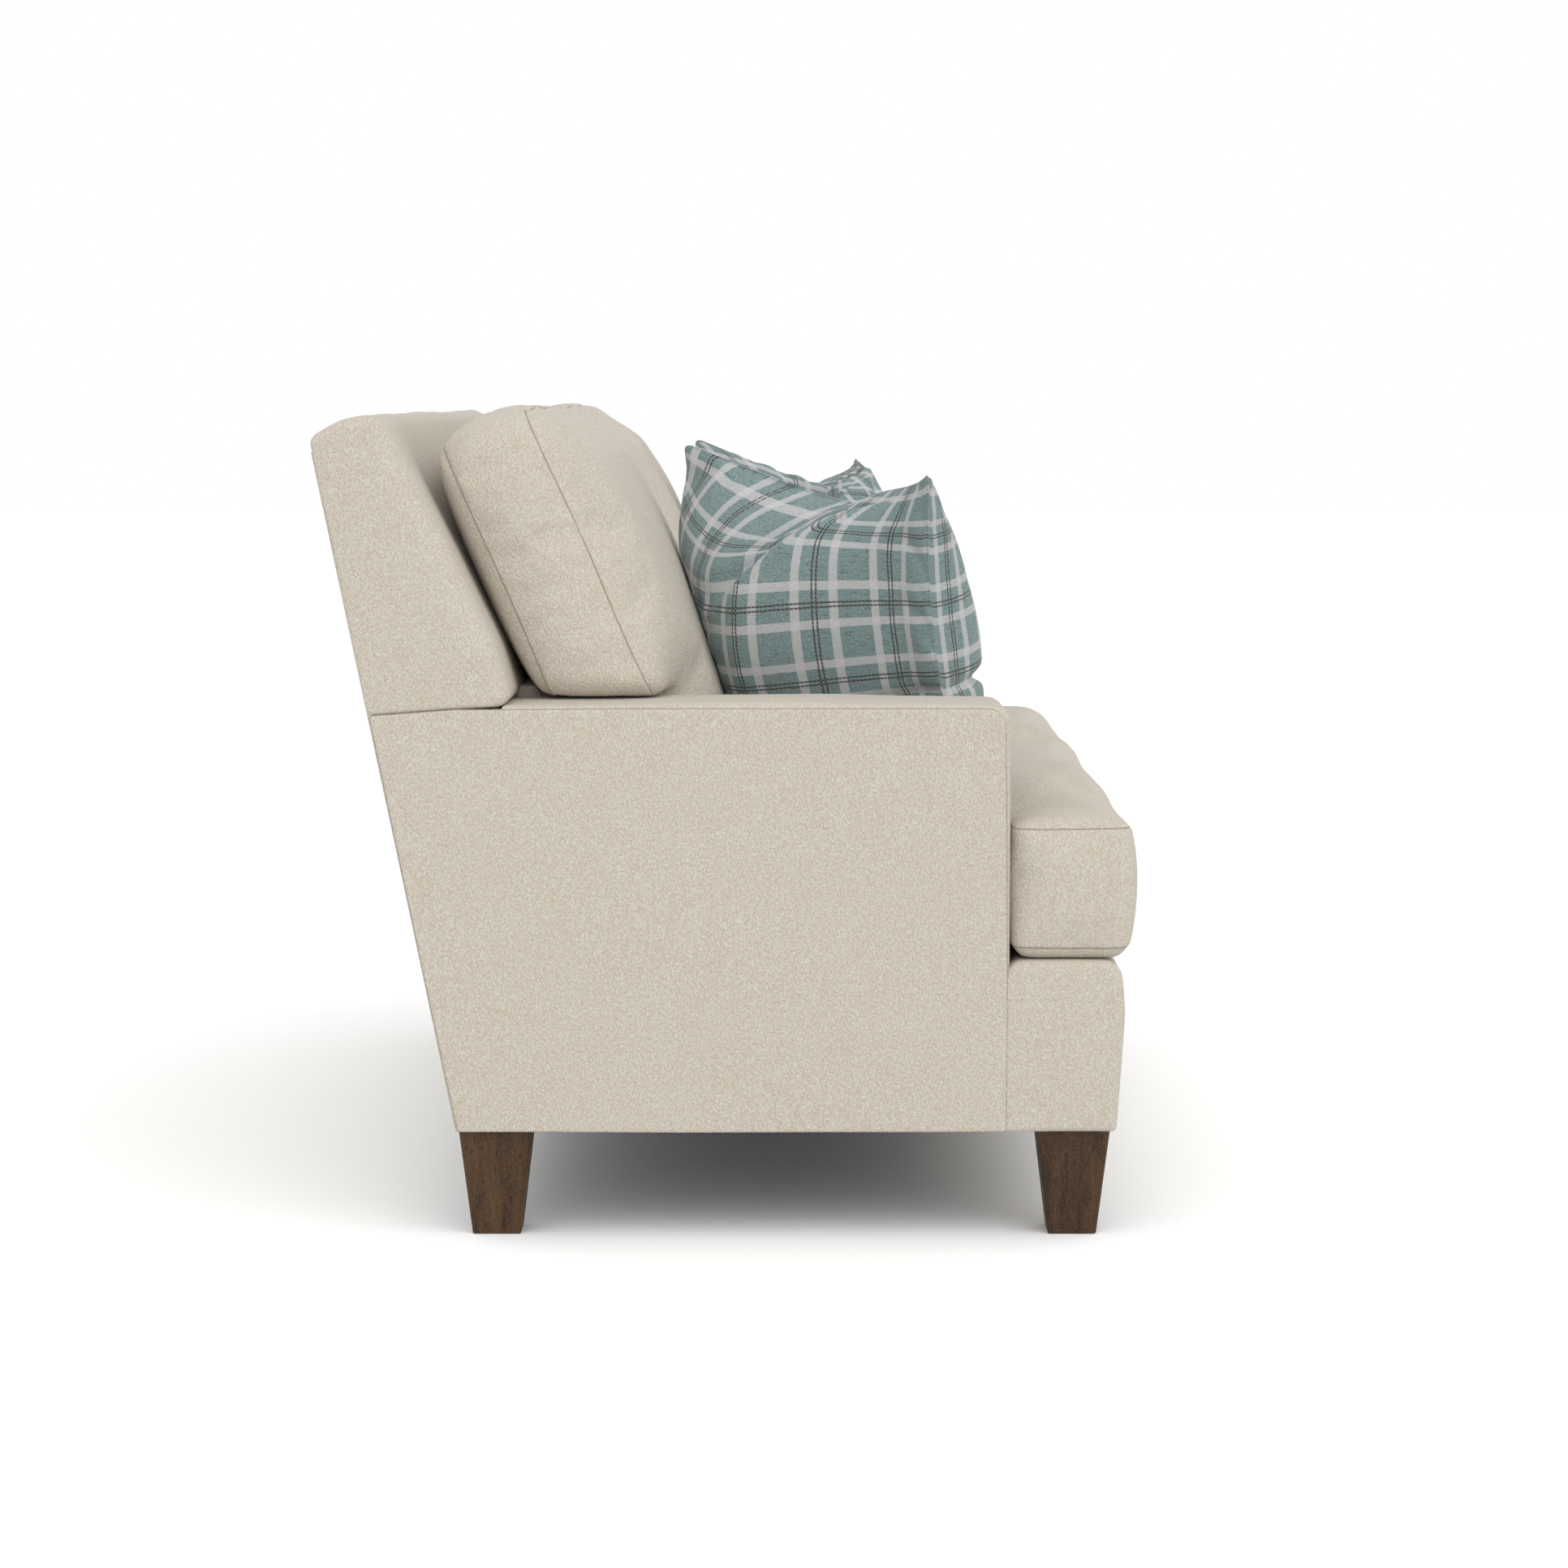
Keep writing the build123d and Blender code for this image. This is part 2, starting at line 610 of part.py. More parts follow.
def make_front_border():
    """Return the padded border over the front rail, with its top and both ends."""
    face = FRONT + BORDER_INSET
    full = [
        (face + BORDER_UNDERCUT, LEG_HEIGHT, 0),
        (ARM_FRONT, LEG_HEIGHT, 0),
        (ARM_FRONT, DECK_HEIGHT, 0),
        (face, DECK_HEIGHT, BORDER_TOP_RADIUS),
        (face, LEG_HEIGHT + (DECK_HEIGHT - LEG_HEIGHT) * 0.68, BORDER_FACE_RADIUS),
    ]
    hollow = [
        (RAIL_FRONT, LEG_HEIGHT, 0),
        (ARM_FRONT, LEG_HEIGHT, 0),
        (ARM_FRONT, BORDER_BOTTOM, 0),
        (RAIL_FRONT, BORDER_BOTTOM, 0),
    ]
    return prism(full, -HALF_WIDTH, HALF_WIDTH) - prism(hollow, X_PANEL, -X_PANEL)


def make_dust_cover():
    """Return the thin cloth under the frame, cut out round the leg plates."""
    rear = outer_line(RAIL_BOTTOM, OUTSIDE_BACK) - BOARD / 2
    front = RAIL_FRONT + BOARD / 2
    side = X_PANEL + BOARD / 2
    cloth = box(side, -side, front, rear, RAIL_BOTTOM - DUST_COVER, RAIL_BOTTOM)
    cut = PLATE_SIZE + 2 * REST_GAP
    for x, y in leg_places():
        cloth = cloth - Pos(x, y, RAIL_BOTTOM) * Box(cut, cut, 4 * DUST_COVER)
    return solids([max(cloth.solids(), key=lambda piece: piece.volume)])


def make_leg(place):
    """Return one square tapered leg, bored for its bolt and its glide."""
    foot = Pos(0, 0, GLIDE_SHOWING) * Rectangle(LEG_FOOT, LEG_FOOT)
    top = Pos(0, 0, LEG_HEIGHT) * Rectangle(LEG_TOP, LEG_TOP)
    leg = loft([foot, top], ruled=True)
    uprights = [edge for edge in leg.edges() if edge.length > LEG_HEIGHT * 0.9]
    leg = chamfer(uprights, LEG_EDGE)
    depth = BOLT_IN_LEG + BOLT_END_ROOM
    bore = Cylinder(BOLT_RADIUS + BOLT_PLAY, depth, align=(Align.CENTER, Align.CENTER, Align.MAX))
    recess_depth = GLIDE_THICKNESS - GLIDE_SHOWING
    recess = Cylinder(GLIDE_RADIUS + BOLT_PLAY, recess_depth, align=(Align.CENTER, Align.CENTER, Align.MIN))
    leg = leg - Pos(0, 0, LEG_HEIGHT) * bore - Pos(0, 0, GLIDE_SHOWING) * recess
    return Pos(place[0], place[1], 0) * leg


def make_leg_plates():
    """Return the four steel plates on top of the legs."""
    low = (Align.CENTER, Align.CENTER, Align.MIN)
    plate = Box(PLATE_SIZE, PLATE_SIZE, PLATE_THICKNESS, align=low)
    plate = plate - Cylinder(BOLT_RADIUS + BOLT_PLAY, PLATE_THICKNESS, align=low)
    return solids([Pos(x, y, LEG_HEIGHT) * plate for x, y in leg_places()])


def make_hanger_bolts():
    """Return the four bolts that hold the legs to the plates and the corner blocks."""
    length = BOLT_IN_LEG + PLATE_THICKNESS + BOLT_IN_BLOCK
    bolt = Cylinder(BOLT_RADIUS, length, align=(Align.CENTER, Align.CENTER, Align.MIN))
    return solids([Pos(x, y, LEG_HEIGHT - BOLT_IN_LEG) * bolt for x, y in leg_places()])


def make_glides():
    """Return the four plastic glides let into the feet of the legs."""
    glide = Cylinder(GLIDE_RADIUS, GLIDE_THICKNESS, align=(Align.CENTER, Align.CENTER, Align.MIN))
    return solids([Pos(x, y, 0) * glide for x, y in leg_places()])


def zip_pocket(plane):
    """Return the space that a zip takes out of a cover, on a plane whose X runs along the zip."""
    length = ZIP_LENGTH + 2 * ZIP_TAPE
    pocket = Pos(0, 0, -ZIP_POCKET_DEPTH / 2) * Box(length, ZIP_POCKET_WIDTH, ZIP_POCKET_DEPTH)
    return plane * pocket


def make_zip_chain(plane):
    """Return the tape and the teeth of a zip as one strip on the floor of its pocket."""
    low = (Align.CENTER, Align.CENTER, Align.MIN)
    tape = Box(ZIP_LENGTH, ZIP_POCKET_WIDTH - 2 * REST_GAP, ZIP_TAPE, align=low)
    teeth = Box(ZIP_LENGTH, ZIP_TEETH_WIDTH, ZIP_TAPE + ZIP_TEETH_HEIGHT, align=low)
    return plane * (Pos(0, 0, -ZIP_POCKET_DEPTH) * (tape + teeth))


def make_zip_slider(plane):
    """Return the slider of a zip with its pull, straddling the teeth at the closed end."""
    low = (Align.CENTER, Align.CENTER, Align.MIN)
    body = Box(SLIDER_LENGTH, SLIDER_WIDTH, SLIDER_HEIGHT, align=low)
    groove_width = ZIP_TEETH_WIDTH + 2 * SLIDER_PLAY
    groove = Box(2 * SLIDER_LENGTH, groove_width, ZIP_TEETH_HEIGHT, align=low)
    start = PULL_LENGTH / 2 - SLIDER_LENGTH / 2
    pull = Pos(start, 0, SLIDER_HEIGHT) * Box(PULL_LENGTH, PULL_WIDTH, PULL_THICKNESS, align=low)
    lift = -ZIP_POCKET_DEPTH + ZIP_TAPE + SLIDER_PLAY
    end = -ZIP_LENGTH / 2 + SLIDER_LENGTH
    return plane * (Pos(end, 0, lift) * (body - groove + pull))


def seat_edges():
    """Return the X of a seat cushion's ear, arm and middle sides, and the Y of its rear."""
    rear = inner_line(SEAT_BOTTOM) - SEAT_REAR_GAP
    return -HALF_WIDTH + EAR_INSET, X_ARM + CUSHION_GAP, -CUSHION_GAP, rear


def seat_outline(height, inset, front_inset):
    """Return the T-shaped outline of the right-hand seat cushion at a height."""
    ear, arm, middle, rear = seat_edges()
    front = FRONT + front_inset
    step = ARM_FRONT - CUSHION_GAP
    points = [
        (ear + inset, front, SEAT_PULL),
        (middle - inset, front, 0),
        (middle - inset, rear - inset, 0),
        (arm + inset, rear - inset, 0),
        (arm + inset, step - inset, 0),
        (ear + inset, step - inset, 0),
    ]
    return outline_face(points, height)


def crown_outline(x0, x1, y0, y1, height):
    """Return a four-sided outline with its front edge drawn in."""
    points = [(x0, y0, SEAT_PULL), (x1, y0, 0), (x1, y1, 0), (x0, y1, 0)]
    return outline_face(points, height)


def seat_zip_plane():
    """Return the plane of the zip in the rear of the right-hand seat cushion."""
    ear, arm, middle, rear = seat_edges()
    height = SEAT_LOW_SEAM + SEAT_BOXING / 2
    return Plane(origin=((arm + middle) / 2, rear, height), x_dir=(1, 0, 0), z_dir=(0, 1, 0))


def make_seat_core():
    """Return the T-shaped foam core of the right-hand seat cushion."""
    low = seat_outline(SEAT_BOTTOM + WRAP, WRAP, SEAT_BULGE + WRAP)
    return extrude(low, SEAT_BOXING, dir=(0, 0, 1))


def make_seat_cover():
    """Return the right-hand seat cushion round its core: boxing, crown and the pocket for the zip."""
    ear, arm, middle, rear = seat_edges()
    front = FRONT + SEAT_BULGE
    step = ARM_FRONT - CUSHION_GAP
    boxing = loft(
        [
            seat_outline(SEAT_BOTTOM, SEAT_SEAM_RISE * 0.8, SEAT_BULGE + SEAT_SEAM_RISE),
            seat_outline(SEAT_LOW_SEAM, 0, SEAT_BULGE),
            seat_outline((SEAT_LOW_SEAM + SEAT_HIGH_SEAM) / 2, 0, 0),
            seat_outline(SEAT_HIGH_SEAM, 0, SEAT_BULGE),
        ],
        ruled=True,
    )
    sections = []
    for rise, reach in SEAT_CROWN_STEPS:
        inset = SEAT_CROWN_REACH * reach
        height = SEAT_HIGH_SEAM + SEAT_CROWN * rise
        sections.append(crown_outline(arm + inset, middle - inset, front + inset, rear - inset, height))
    crown = loft(sections, ruled=True)
    ear_sections = []
    for rise, reach in ((0, 0), (0.22, 0.14), (0.32, 0.36)):
        inset = SEAT_CROWN_REACH * reach
        height = SEAT_HIGH_SEAM + SEAT_CROWN * rise
        inner = arm + SEAT_CROWN_REACH / 2
        ear_sections.append(crown_outline(ear + inset, inner, front + inset, step - inset, height))
    ear_crown = loft(ear_sections, ruled=True)
    return boxing + crown + ear_crown - make_seat_core() - zip_pocket(seat_zip_plane())


def back_cushion_plane():
    """Return the plane of the rear seam of a back cushion, with its origin at arm height."""
    angle = math.radians(BACK_CUSHION_TILT)
    origin = (0, inner_line(ARM_HEIGHT) - BACK_CUSHION_LEAN, ARM_HEIGHT)
    return Plane(origin=origin, x_dir=(1, 0, 0), z_dir=(0, -math.cos(angle), math.sin(angle)))


def crown_height(inset):
    """Return the height of the seat crown at a distance in from the rear seam."""
    for before, after in zip(SEAT_CROWN_STEPS, SEAT_CROWN_STEPS[1:]):
        start = before[1] * SEAT_CROWN_REACH
        end = after[1] * SEAT_CROWN_REACH
        if inset <= end:
            share = max(inset - start, 0) / (end - start)
            return SEAT_HIGH_SEAM + SEAT_CROWN * (before[0] + share * (after[0] - before[0]))
    return SEAT_TOP


def back_cushion_front(height):
    """Return Y of the front seam of a back cushion at a height."""
    angle = math.radians(BACK_CUSHION_TILT)
    rear_seam = inner_line(ARM_HEIGHT) - BACK_CUSHION_LEAN - (ARM_HEIGHT - height) * math.tan(angle)
    return rear_seam - BACK_CUSHION_BOXING / math.cos(angle)


def back_cushion_bottom():
    """Return the height of the underside of a back cushion, where its front edge rests on the seat crown."""
    rear = seat_edges()[3]
    height = SEAT_TOP
    for step in range(40):
        height = crown_height(rear - back_cushion_front(height)) + REST_GAP
    return height


def back_cushion_low():
    """Return how far down its own plane a back cushion runs, so that its front meets the seat cushion."""
    angle = math.radians(BACK_CUSHION_TILT)
    drop = ARM_HEIGHT - back_cushion_bottom() + BACK_CUSHION_BOXING * math.sin(angle)
    return -drop / math.cos(angle)


def back_cushion_high():
    """Return how far up its own plane a back cushion runs, from its overall rise above the arm."""
    angle = math.radians(BACK_CUSHION_TILT)
    return (BACK_CUSHION_RISE - BACK_CUSHION_BOXING * math.sin(angle)) / math.cos(angle)


def back_cushion_outline(inset, height, pull):
    """Return the outline of the right-hand back cushion on its own plane."""
    left = X_ARM - BACK_EAR + inset
    right = -CUSHION_GAP - inset
    low = back_cushion_low() + inset
    high = back_cushion_high() - inset
    points = [(left, low, 0), (right, low, 0), (right, high, pull), (left, high, pull)]
    return outline_face(points, height)


def back_cushion_space(lift):
    """Return the space that a right-hand back cushion keeps out of: seat, arm and inside back."""
    far = WIDTH
    deep = 2 * DEPTH
    seat_top = back_cushion_bottom() + lift
    seat = box(-far, far, -deep, deep, seat_top - deep, seat_top)
    arm_top = ARM_HEIGHT + REST_GAP + lift
    arm = box(-far, X_ARM + CUSHION_GAP + lift, -deep, deep, arm_top - deep, arm_top)
    low = SEAT_TOP - deep
    high = BACK_HEIGHT + deep
    reach = -REST_GAP - lift
    points = [
        (inner_line(low, reach), low, 0),
        (inner_line(low, reach) + 4 * deep, low, 0),
        (inner_line(low, reach) + 4 * deep, high, 0),
        (inner_line(high, reach), high, 0),
    ]
    return seat + arm + prism(points, -far, far)


def back_zip_plane():
    """Return the plane of the zip in the underside of the right-hand back cushion."""
    angle = math.radians(BACK_CUSHION_TILT)
    height = back_cushion_bottom()
    middle = back_cushion_front(height) + BACK_CUSHION_BOXING / 2 / math.cos(angle)
    return Plane(origin=(X_ARM / 2, middle, height), x_dir=(1, 0, 0), z_dir=(0, 0, -1))


def make_back_fill():
    """Return the fibre fill of the right-hand back cushion, flat faced inside its cover."""
    core = extrude(back_cushion_outline(WRAP, 0, 0), BACK_CUSHION_BOXING, dir=(0, 0, 1))
    return back_cushion_plane() * core - back_cushion_space(WRAP)


def make_back_cover():
    """Return the right-hand back cushion round its fill: boxing, crowned front, soft rear and zip pocket."""
    steps = [
        (-1.0, 0, 0.42),
        (-0.55, 0, 0.15),
        (0, 0, 0),
        (0, 1.0, 0),
        (0.36, 1.0, 0.14),
        (0.74, 1.0, 0.44),
        (1.0, 1.0, 1.0),
    ]
    sections = []
    for rise, boxing, reach in steps:
        crown = BACK_CUSHION_CROWN if rise > 0 else BACK_CUSHION_BULGE
        height = boxing * BACK_CUSHION_BOXING + rise * crown
        sections.append(back_cushion_outline(BACK_CUSHION_REACH * reach, height, BACK_CUSHION_PULL))
    cushion = back_cushion_plane() * loft(sections, ruled=True)
    return cushion - back_cushion_space(0) - make_back_fill() - zip_pocket(back_zip_plane())


def pillow_plane(turn):
    """Return the middle plane of the right-hand throw pillow, set into the corner of arm and back."""
    lean = math.radians(PILLOW_LEAN)
    angle = math.radians(turn)
    corner = Vector(-math.cos(angle), math.sin(angle), 0)
    along = Vector(math.sin(angle), math.cos(angle), 0)
    facing = corner * -math.cos(lean) + Vector(0, 0, math.sin(lean))
    half = PILLOW_SPAN / 2
    tall = PILLOW_HEIGHT / 2
    level = (ARM_HEIGHT - SEAT_TOP) / (tall * math.cos(lean)) - 1
    tilt = tall * math.sin(lean)
    reach = half * math.sin(angle) + min(max(level, -1), 1) * tilt * math.cos(angle)
    x = X_ARM + PILLOW_ARM_GAP + reach
    tip = back_cushion_front(SEAT_TOP) + PILLOW_TIP_SET
    y = tip - half * math.cos(angle) - tilt * math.sin(angle)
    height = SEAT_TOP + REST_GAP + tall * math.cos(lean)
    return Plane(origin=(x, y, height), x_dir=along, z_dir=facing)


def pillow_space(lift):
    """Return the space behind a throw pillow, which lies flat against its back cushion."""
    far = WIDTH
    deep = 2 * DEPTH
    low = SEAT_TOP - deep
    high = BACK_HEIGHT + deep
    swell = (BACK_CUSHION_CROWN + PILLOW_REST_GAP + lift) / math.cos(math.radians(BACK_CUSHION_TILT))
    knee = back_cushion_front(ARM_HEIGHT) - swell
    points = [
        (knee, low, 0),
        (knee + 4 * deep, low, 0),
        (knee + 4 * deep, high, 0),
        (back_cushion_front(high) - swell, high, 0),
        (knee, ARM_HEIGHT, 0),
    ]
    return prism(points, -far, far)


def pillow_outline(scale, height, side, dip):
    """Return the drawn-in outline of a throw pillow: a dip in its top edge, its front corner hanging."""
    half = PILLOW_SPAN / 2 * scale
    tall = PILLOW_HEIGHT / 2 * scale
    points = [
        (-half, -tall, side * scale),
        (half, -tall, side * scale),
        (half, tall, dip * scale),
        (-half, tall - PILLOW_DROOP * scale, side * scale),
    ]
    return outline_face(points, height)


def pillow_form(size, side, dip):
    """Return a closed pillow: crowned both ways from a sharp edge all round."""
    sections = []
    thick = PILLOW_THICKNESS / 2 * size
    steps = ((-1, 0.22), (-0.84, 0.5), (-0.5, 0.79), (0, 1), (0.5, 0.79), (0.84, 0.5), (1, 0.22))
    for rise, scale in steps:
        sections.append(pillow_outline(scale * size, rise * thick, side, dip))
    return loft(sections, ruled=True)


def make_pillow_insert(turn):
    """Return the filled insert of the right-hand throw pillow."""
    return pillow_plane(turn) * pillow_form(PILLOW_INSERT, 0, 0) - pillow_space(PILLOW_WALL)


def make_pillow_cover(turn):
    """Return the cover of the right-hand throw pillow round its insert."""
    pillow = pillow_plane(turn) * pillow_form(1.0, PILLOW_PULL, PILLOW_DIP) - pillow_space(0)
    return pillow - make_pillow_insert(turn)


def add_sides(nodes, name, shape):
    """Store a right-hand shape and its mirror image under one name."""
    nodes[name + "_right"], nodes[name + "_left"] = both_sides(shape)


def make_nodes():
    """Return every piece of the sofa by name."""
    nodes = {
        "front_rail": make_front_rail(),
        "rear_rail": make_rear_rail(),
        "spring_rail": make_spring_rail(),
        "center_stretcher": make_center_stretcher(),
        "corner_blocks": make_corner_blocks(),
        "back_center_post": make_back_center_post(),
        "back_top_rail": make_back_top_rail(),
        "back_lower_rails": make_back_lower_rails(),
        "seat_springs": make_seat_springs(),
        "spring_clips": make_spring_clips(),
        "spring_tie_wires": make_spring_tie_wires(),
        "back_webbing": make_back_webbing(),
        "seat_deck": make_seat_deck(),
        "inside_back": make_inside_back(),
        "outside_back": make_outside_back(),
        "front_border": make_front_border(),
        "dust_cover": make_dust_cover(),
        "leg_plates": make_leg_plates(),
        "hanger_bolts": make_hanger_bolts(),
        "glides": make_glides(),
    }
    add_sides(nodes, "side_rail", make_side_rail())
    add_sides(nodes, "arm_front_post", make_arm_front_post())
    add_sides(nodes, "arm_top_rail", make_arm_top_rail())
    add_sides(nodes, "back_end_post", make_back_end_post())
    add_sides(nodes, "outside_arm", make_outside_arm())
    add_sides(nodes, "arm_wrap", make_arm_wrap())
    add_sides(nodes, "back_end", make_back_end())
    add_sides(nodes, "seat_cushion_core", make_seat_core())
    add_sides(nodes, "seat_cushion_cover", make_seat_cover())
    add_sides(nodes, "seat_zip_chain", make_zip_chain(seat_zip_plane()))
    add_sides(nodes, "seat_zip_slider", make_zip_slider(seat_zip_plane()))
    add_sides(nodes, "back_cushion_fill", make_back_fill())
    add_sides(nodes, "back_cushion_cover", make_back_cover())
    add_sides(nodes, "back_zip_chain", make_zip_chain(back_zip_plane()))
    add_sides(nodes, "back_zip_slider", make_zip_slider(back_zip_plane()))
    names = ("leg_front_right", "leg_front_left", "leg_rear_right", "leg_rear_left")
    for name, place in zip(names, leg_places()):
        nodes[name] = make_leg(place)
    nodes["throw_pillow_cover_right"] = make_pillow_cover(PILLOW_TURN_RIGHT)
    nodes["throw_pillow_insert_right"] = make_pillow_insert(PILLOW_TURN_RIGHT)
    nodes["throw_pillow_cover_left"] = mirror(make_pillow_cover(PILLOW_TURN_LEFT), about=Plane.YZ)
    nodes["throw_pillow_insert_left"] = mirror(make_pillow_insert(PILLOW_TURN_LEFT), about=Plane.YZ)
    return nodes


def main():
    """Build every piece and write one file for each."""
    os.makedirs("parts", exist_ok=True)
    for name, shape in make_nodes().items():
        export_step(shape, f"parts/{name}.step")


main()
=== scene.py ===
"""A two-seat sofa with T-shaped cushions, tapered legs and plaid pillows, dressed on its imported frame."""

from __future__ import annotations

import json
import logging
import math
from dataclasses import dataclass, field
from enum import Enum
from typing import Callable, Sequence

import bpy
import numpy as np
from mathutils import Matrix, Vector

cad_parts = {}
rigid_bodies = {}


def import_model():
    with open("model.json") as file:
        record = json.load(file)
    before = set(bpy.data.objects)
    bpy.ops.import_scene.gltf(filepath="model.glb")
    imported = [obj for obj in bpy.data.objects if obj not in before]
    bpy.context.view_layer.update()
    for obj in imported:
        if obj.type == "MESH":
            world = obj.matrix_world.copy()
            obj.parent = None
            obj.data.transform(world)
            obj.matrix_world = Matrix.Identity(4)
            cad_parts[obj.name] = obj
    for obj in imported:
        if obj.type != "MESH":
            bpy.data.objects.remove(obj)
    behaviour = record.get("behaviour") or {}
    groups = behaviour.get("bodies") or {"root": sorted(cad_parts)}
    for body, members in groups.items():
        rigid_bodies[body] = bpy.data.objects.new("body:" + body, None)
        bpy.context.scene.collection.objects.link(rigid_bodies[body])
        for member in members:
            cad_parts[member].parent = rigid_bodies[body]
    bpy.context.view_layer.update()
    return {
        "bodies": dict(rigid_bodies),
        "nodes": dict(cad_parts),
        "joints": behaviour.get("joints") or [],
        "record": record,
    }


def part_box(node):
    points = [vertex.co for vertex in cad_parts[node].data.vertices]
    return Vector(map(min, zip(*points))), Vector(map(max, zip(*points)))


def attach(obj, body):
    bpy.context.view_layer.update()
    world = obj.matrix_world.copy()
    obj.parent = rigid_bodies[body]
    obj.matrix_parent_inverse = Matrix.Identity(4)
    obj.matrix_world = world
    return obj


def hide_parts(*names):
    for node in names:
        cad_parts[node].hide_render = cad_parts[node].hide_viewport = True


LOG = logging.getLogger("loveseat")
Array = np.ndarray
Colour = tuple[float, float, float]


class Side(Enum):
    """The sitter's two sides, each with the sign of its X."""

    RIGHT = -1.0
    LEFT = 1.0

    @property
    def label(self) -> str:
        """The side's name as the nodes spell it."""
        return self.name.lower()

    def seed(self, first: int) -> int:
        """The side's own random seed: the first for the right, the next for the left."""
        return first + (self is Side.LEFT)


PILLOW_TURNS = {Side.RIGHT: 47.5, Side.LEFT: 58.0}


class Socket:
    """A shader output that takes part in Python arithmetic."""

    def __init__(self, nodes: "NodeTree", output: bpy.types.NodeSocket) -> None:
        """Keep the node tree and the output that carries the value."""
        self.nodes = nodes
        self.output = output

    def _math(self, operation: str, other: "Socket | float", swap: bool = False) -> "Socket":
        """Add the Math or Vector Math node of one operator.

        Args:
            operation: the node's operation.
            other: the second operand.
            swap: True for a reflected operator.

        Returns:
            The node's result.
        """
        kind = "ShaderNodeVectorMath" if self.output.type == "VECTOR" else "ShaderNodeMath"
        first, second = (other, self) if swap else (self, other)
        return self.nodes.node(kind, {"operation": operation}, {0: first, 1: second})

    def __add__(self, other: "Socket | float") -> "Socket":
        """Sum."""
        return self._math("ADD", other)

    def __radd__(self, other: float) -> "Socket":
        """Reflected sum."""
        return self._math("ADD", other, True)

    def __sub__(self, other: "Socket | float") -> "Socket":
        """Difference."""
        return self._math("SUBTRACT", other)

    def __rsub__(self, other: float) -> "Socket":
        """Reflected difference."""
        return self._math("SUBTRACT", other, True)

    def __mul__(self, other: "Socket | float | tuple") -> "Socket":
        """Product."""
        return self._math("MULTIPLY", other)

    def __rmul__(self, other: float) -> "Socket":
        """Reflected product."""
        return self._math("MULTIPLY", other, True)

    def __abs__(self) -> "Socket":
        """Absolute value."""
        return self._math("ABSOLUTE", 0.0)

    def largest(self, other: "Socket") -> "Socket":
        """The larger of two values."""
        return self._math("MAXIMUM", other)

    def fold(self, period: float) -> "Socket":
        """Distance to the nearest whole multiple of a period."""
        return self._math("PINGPONG", period / 2.0)

    def step(self, low: float, high: float) -> "Socket":
        """Smooth step between two values.

        Args:
            low: the value that gives 0.
            high: the value that gives 1, which may be below low.

        Returns:
            The step, 0 to 1.
        """
        start, end = (0.0, 1.0) if low < high else (1.0, 0.0)
        ends = {"From Min": min(low, high), "From Max": max(low, high), "To Min": start, "To Max": end}
        return self.nodes.node(
            "ShaderNodeMapRange", {"interpolation_type": "SMOOTHSTEP"}, {"Value": self, **ends}
        )


class NodeTree:
    """The emptied node tree of a material or a world, filled by one method."""

    def __init__(self, owner: bpy.types.Material | bpy.types.World) -> None:
        """Empty the owner's node tree.

        Args:
            owner: the material or world.
        """
        owner.use_nodes = True
        self.owner = owner
        self.tree = owner.node_tree
        self.tree.nodes.clear()

    def node(
        self, kind: str, settings: dict | None = None, inputs: dict | None = None, output: int | str = 0
    ) -> Socket:
        """Add any node.

        Args:
            kind: the node's type.
            settings: properties, set before the sockets.
            inputs: values or links by socket index, identifier or name.
            output: the output to hand back, by index, identifier or name.

        Returns:
            The chosen output.
        """
        made = self.tree.nodes.new(kind)
        for key, value in (settings or {}).items():
            setattr(made, key, value)
        for key, value in (inputs or {}).items():
            self.plug(self._find(made.inputs, key), value)
        return Socket(self, self._find(made.outputs, output))

    @staticmethod
    def _find(sockets: Sequence, key: int | str) -> bpy.types.NodeSocket:
        """Find a socket.

        Args:
            sockets: a node's inputs or outputs.
            key: the socket's index, identifier or name.

        Returns:
            The socket.
        """
        if isinstance(key, int):
            return sockets[key]
        return next(s for s in sockets if key in (s.identifier, s.name))

    def plug(self, socket: bpy.types.NodeSocket, value: "Socket | float | tuple") -> None:
        """Link a value to a socket, or set it there.

        Args:
            socket: the input.
            value: a wrapped output, a number, or the numbers of a vector or colour.
        """
        if isinstance(value, Socket):
            self.tree.links.new(value.output, socket)
        elif socket.type == "RGBA":
            socket.default_value = (*value, 1.0)
        elif socket.type == "VECTOR" and isinstance(value, (int, float)):
            socket.default_value = (value, value, value)
        else:
            socket.default_value = value

    def close(self, surface: Socket) -> None:
        """Add the output node that shows a surface.

        Args:
            surface: the last shader's output.
        """
        kind = "World" if isinstance(self.owner, bpy.types.World) else "Material"
        output = self.tree.nodes.new(f"ShaderNodeOutput{kind}")
        self.plug(output.inputs["Surface"], surface)


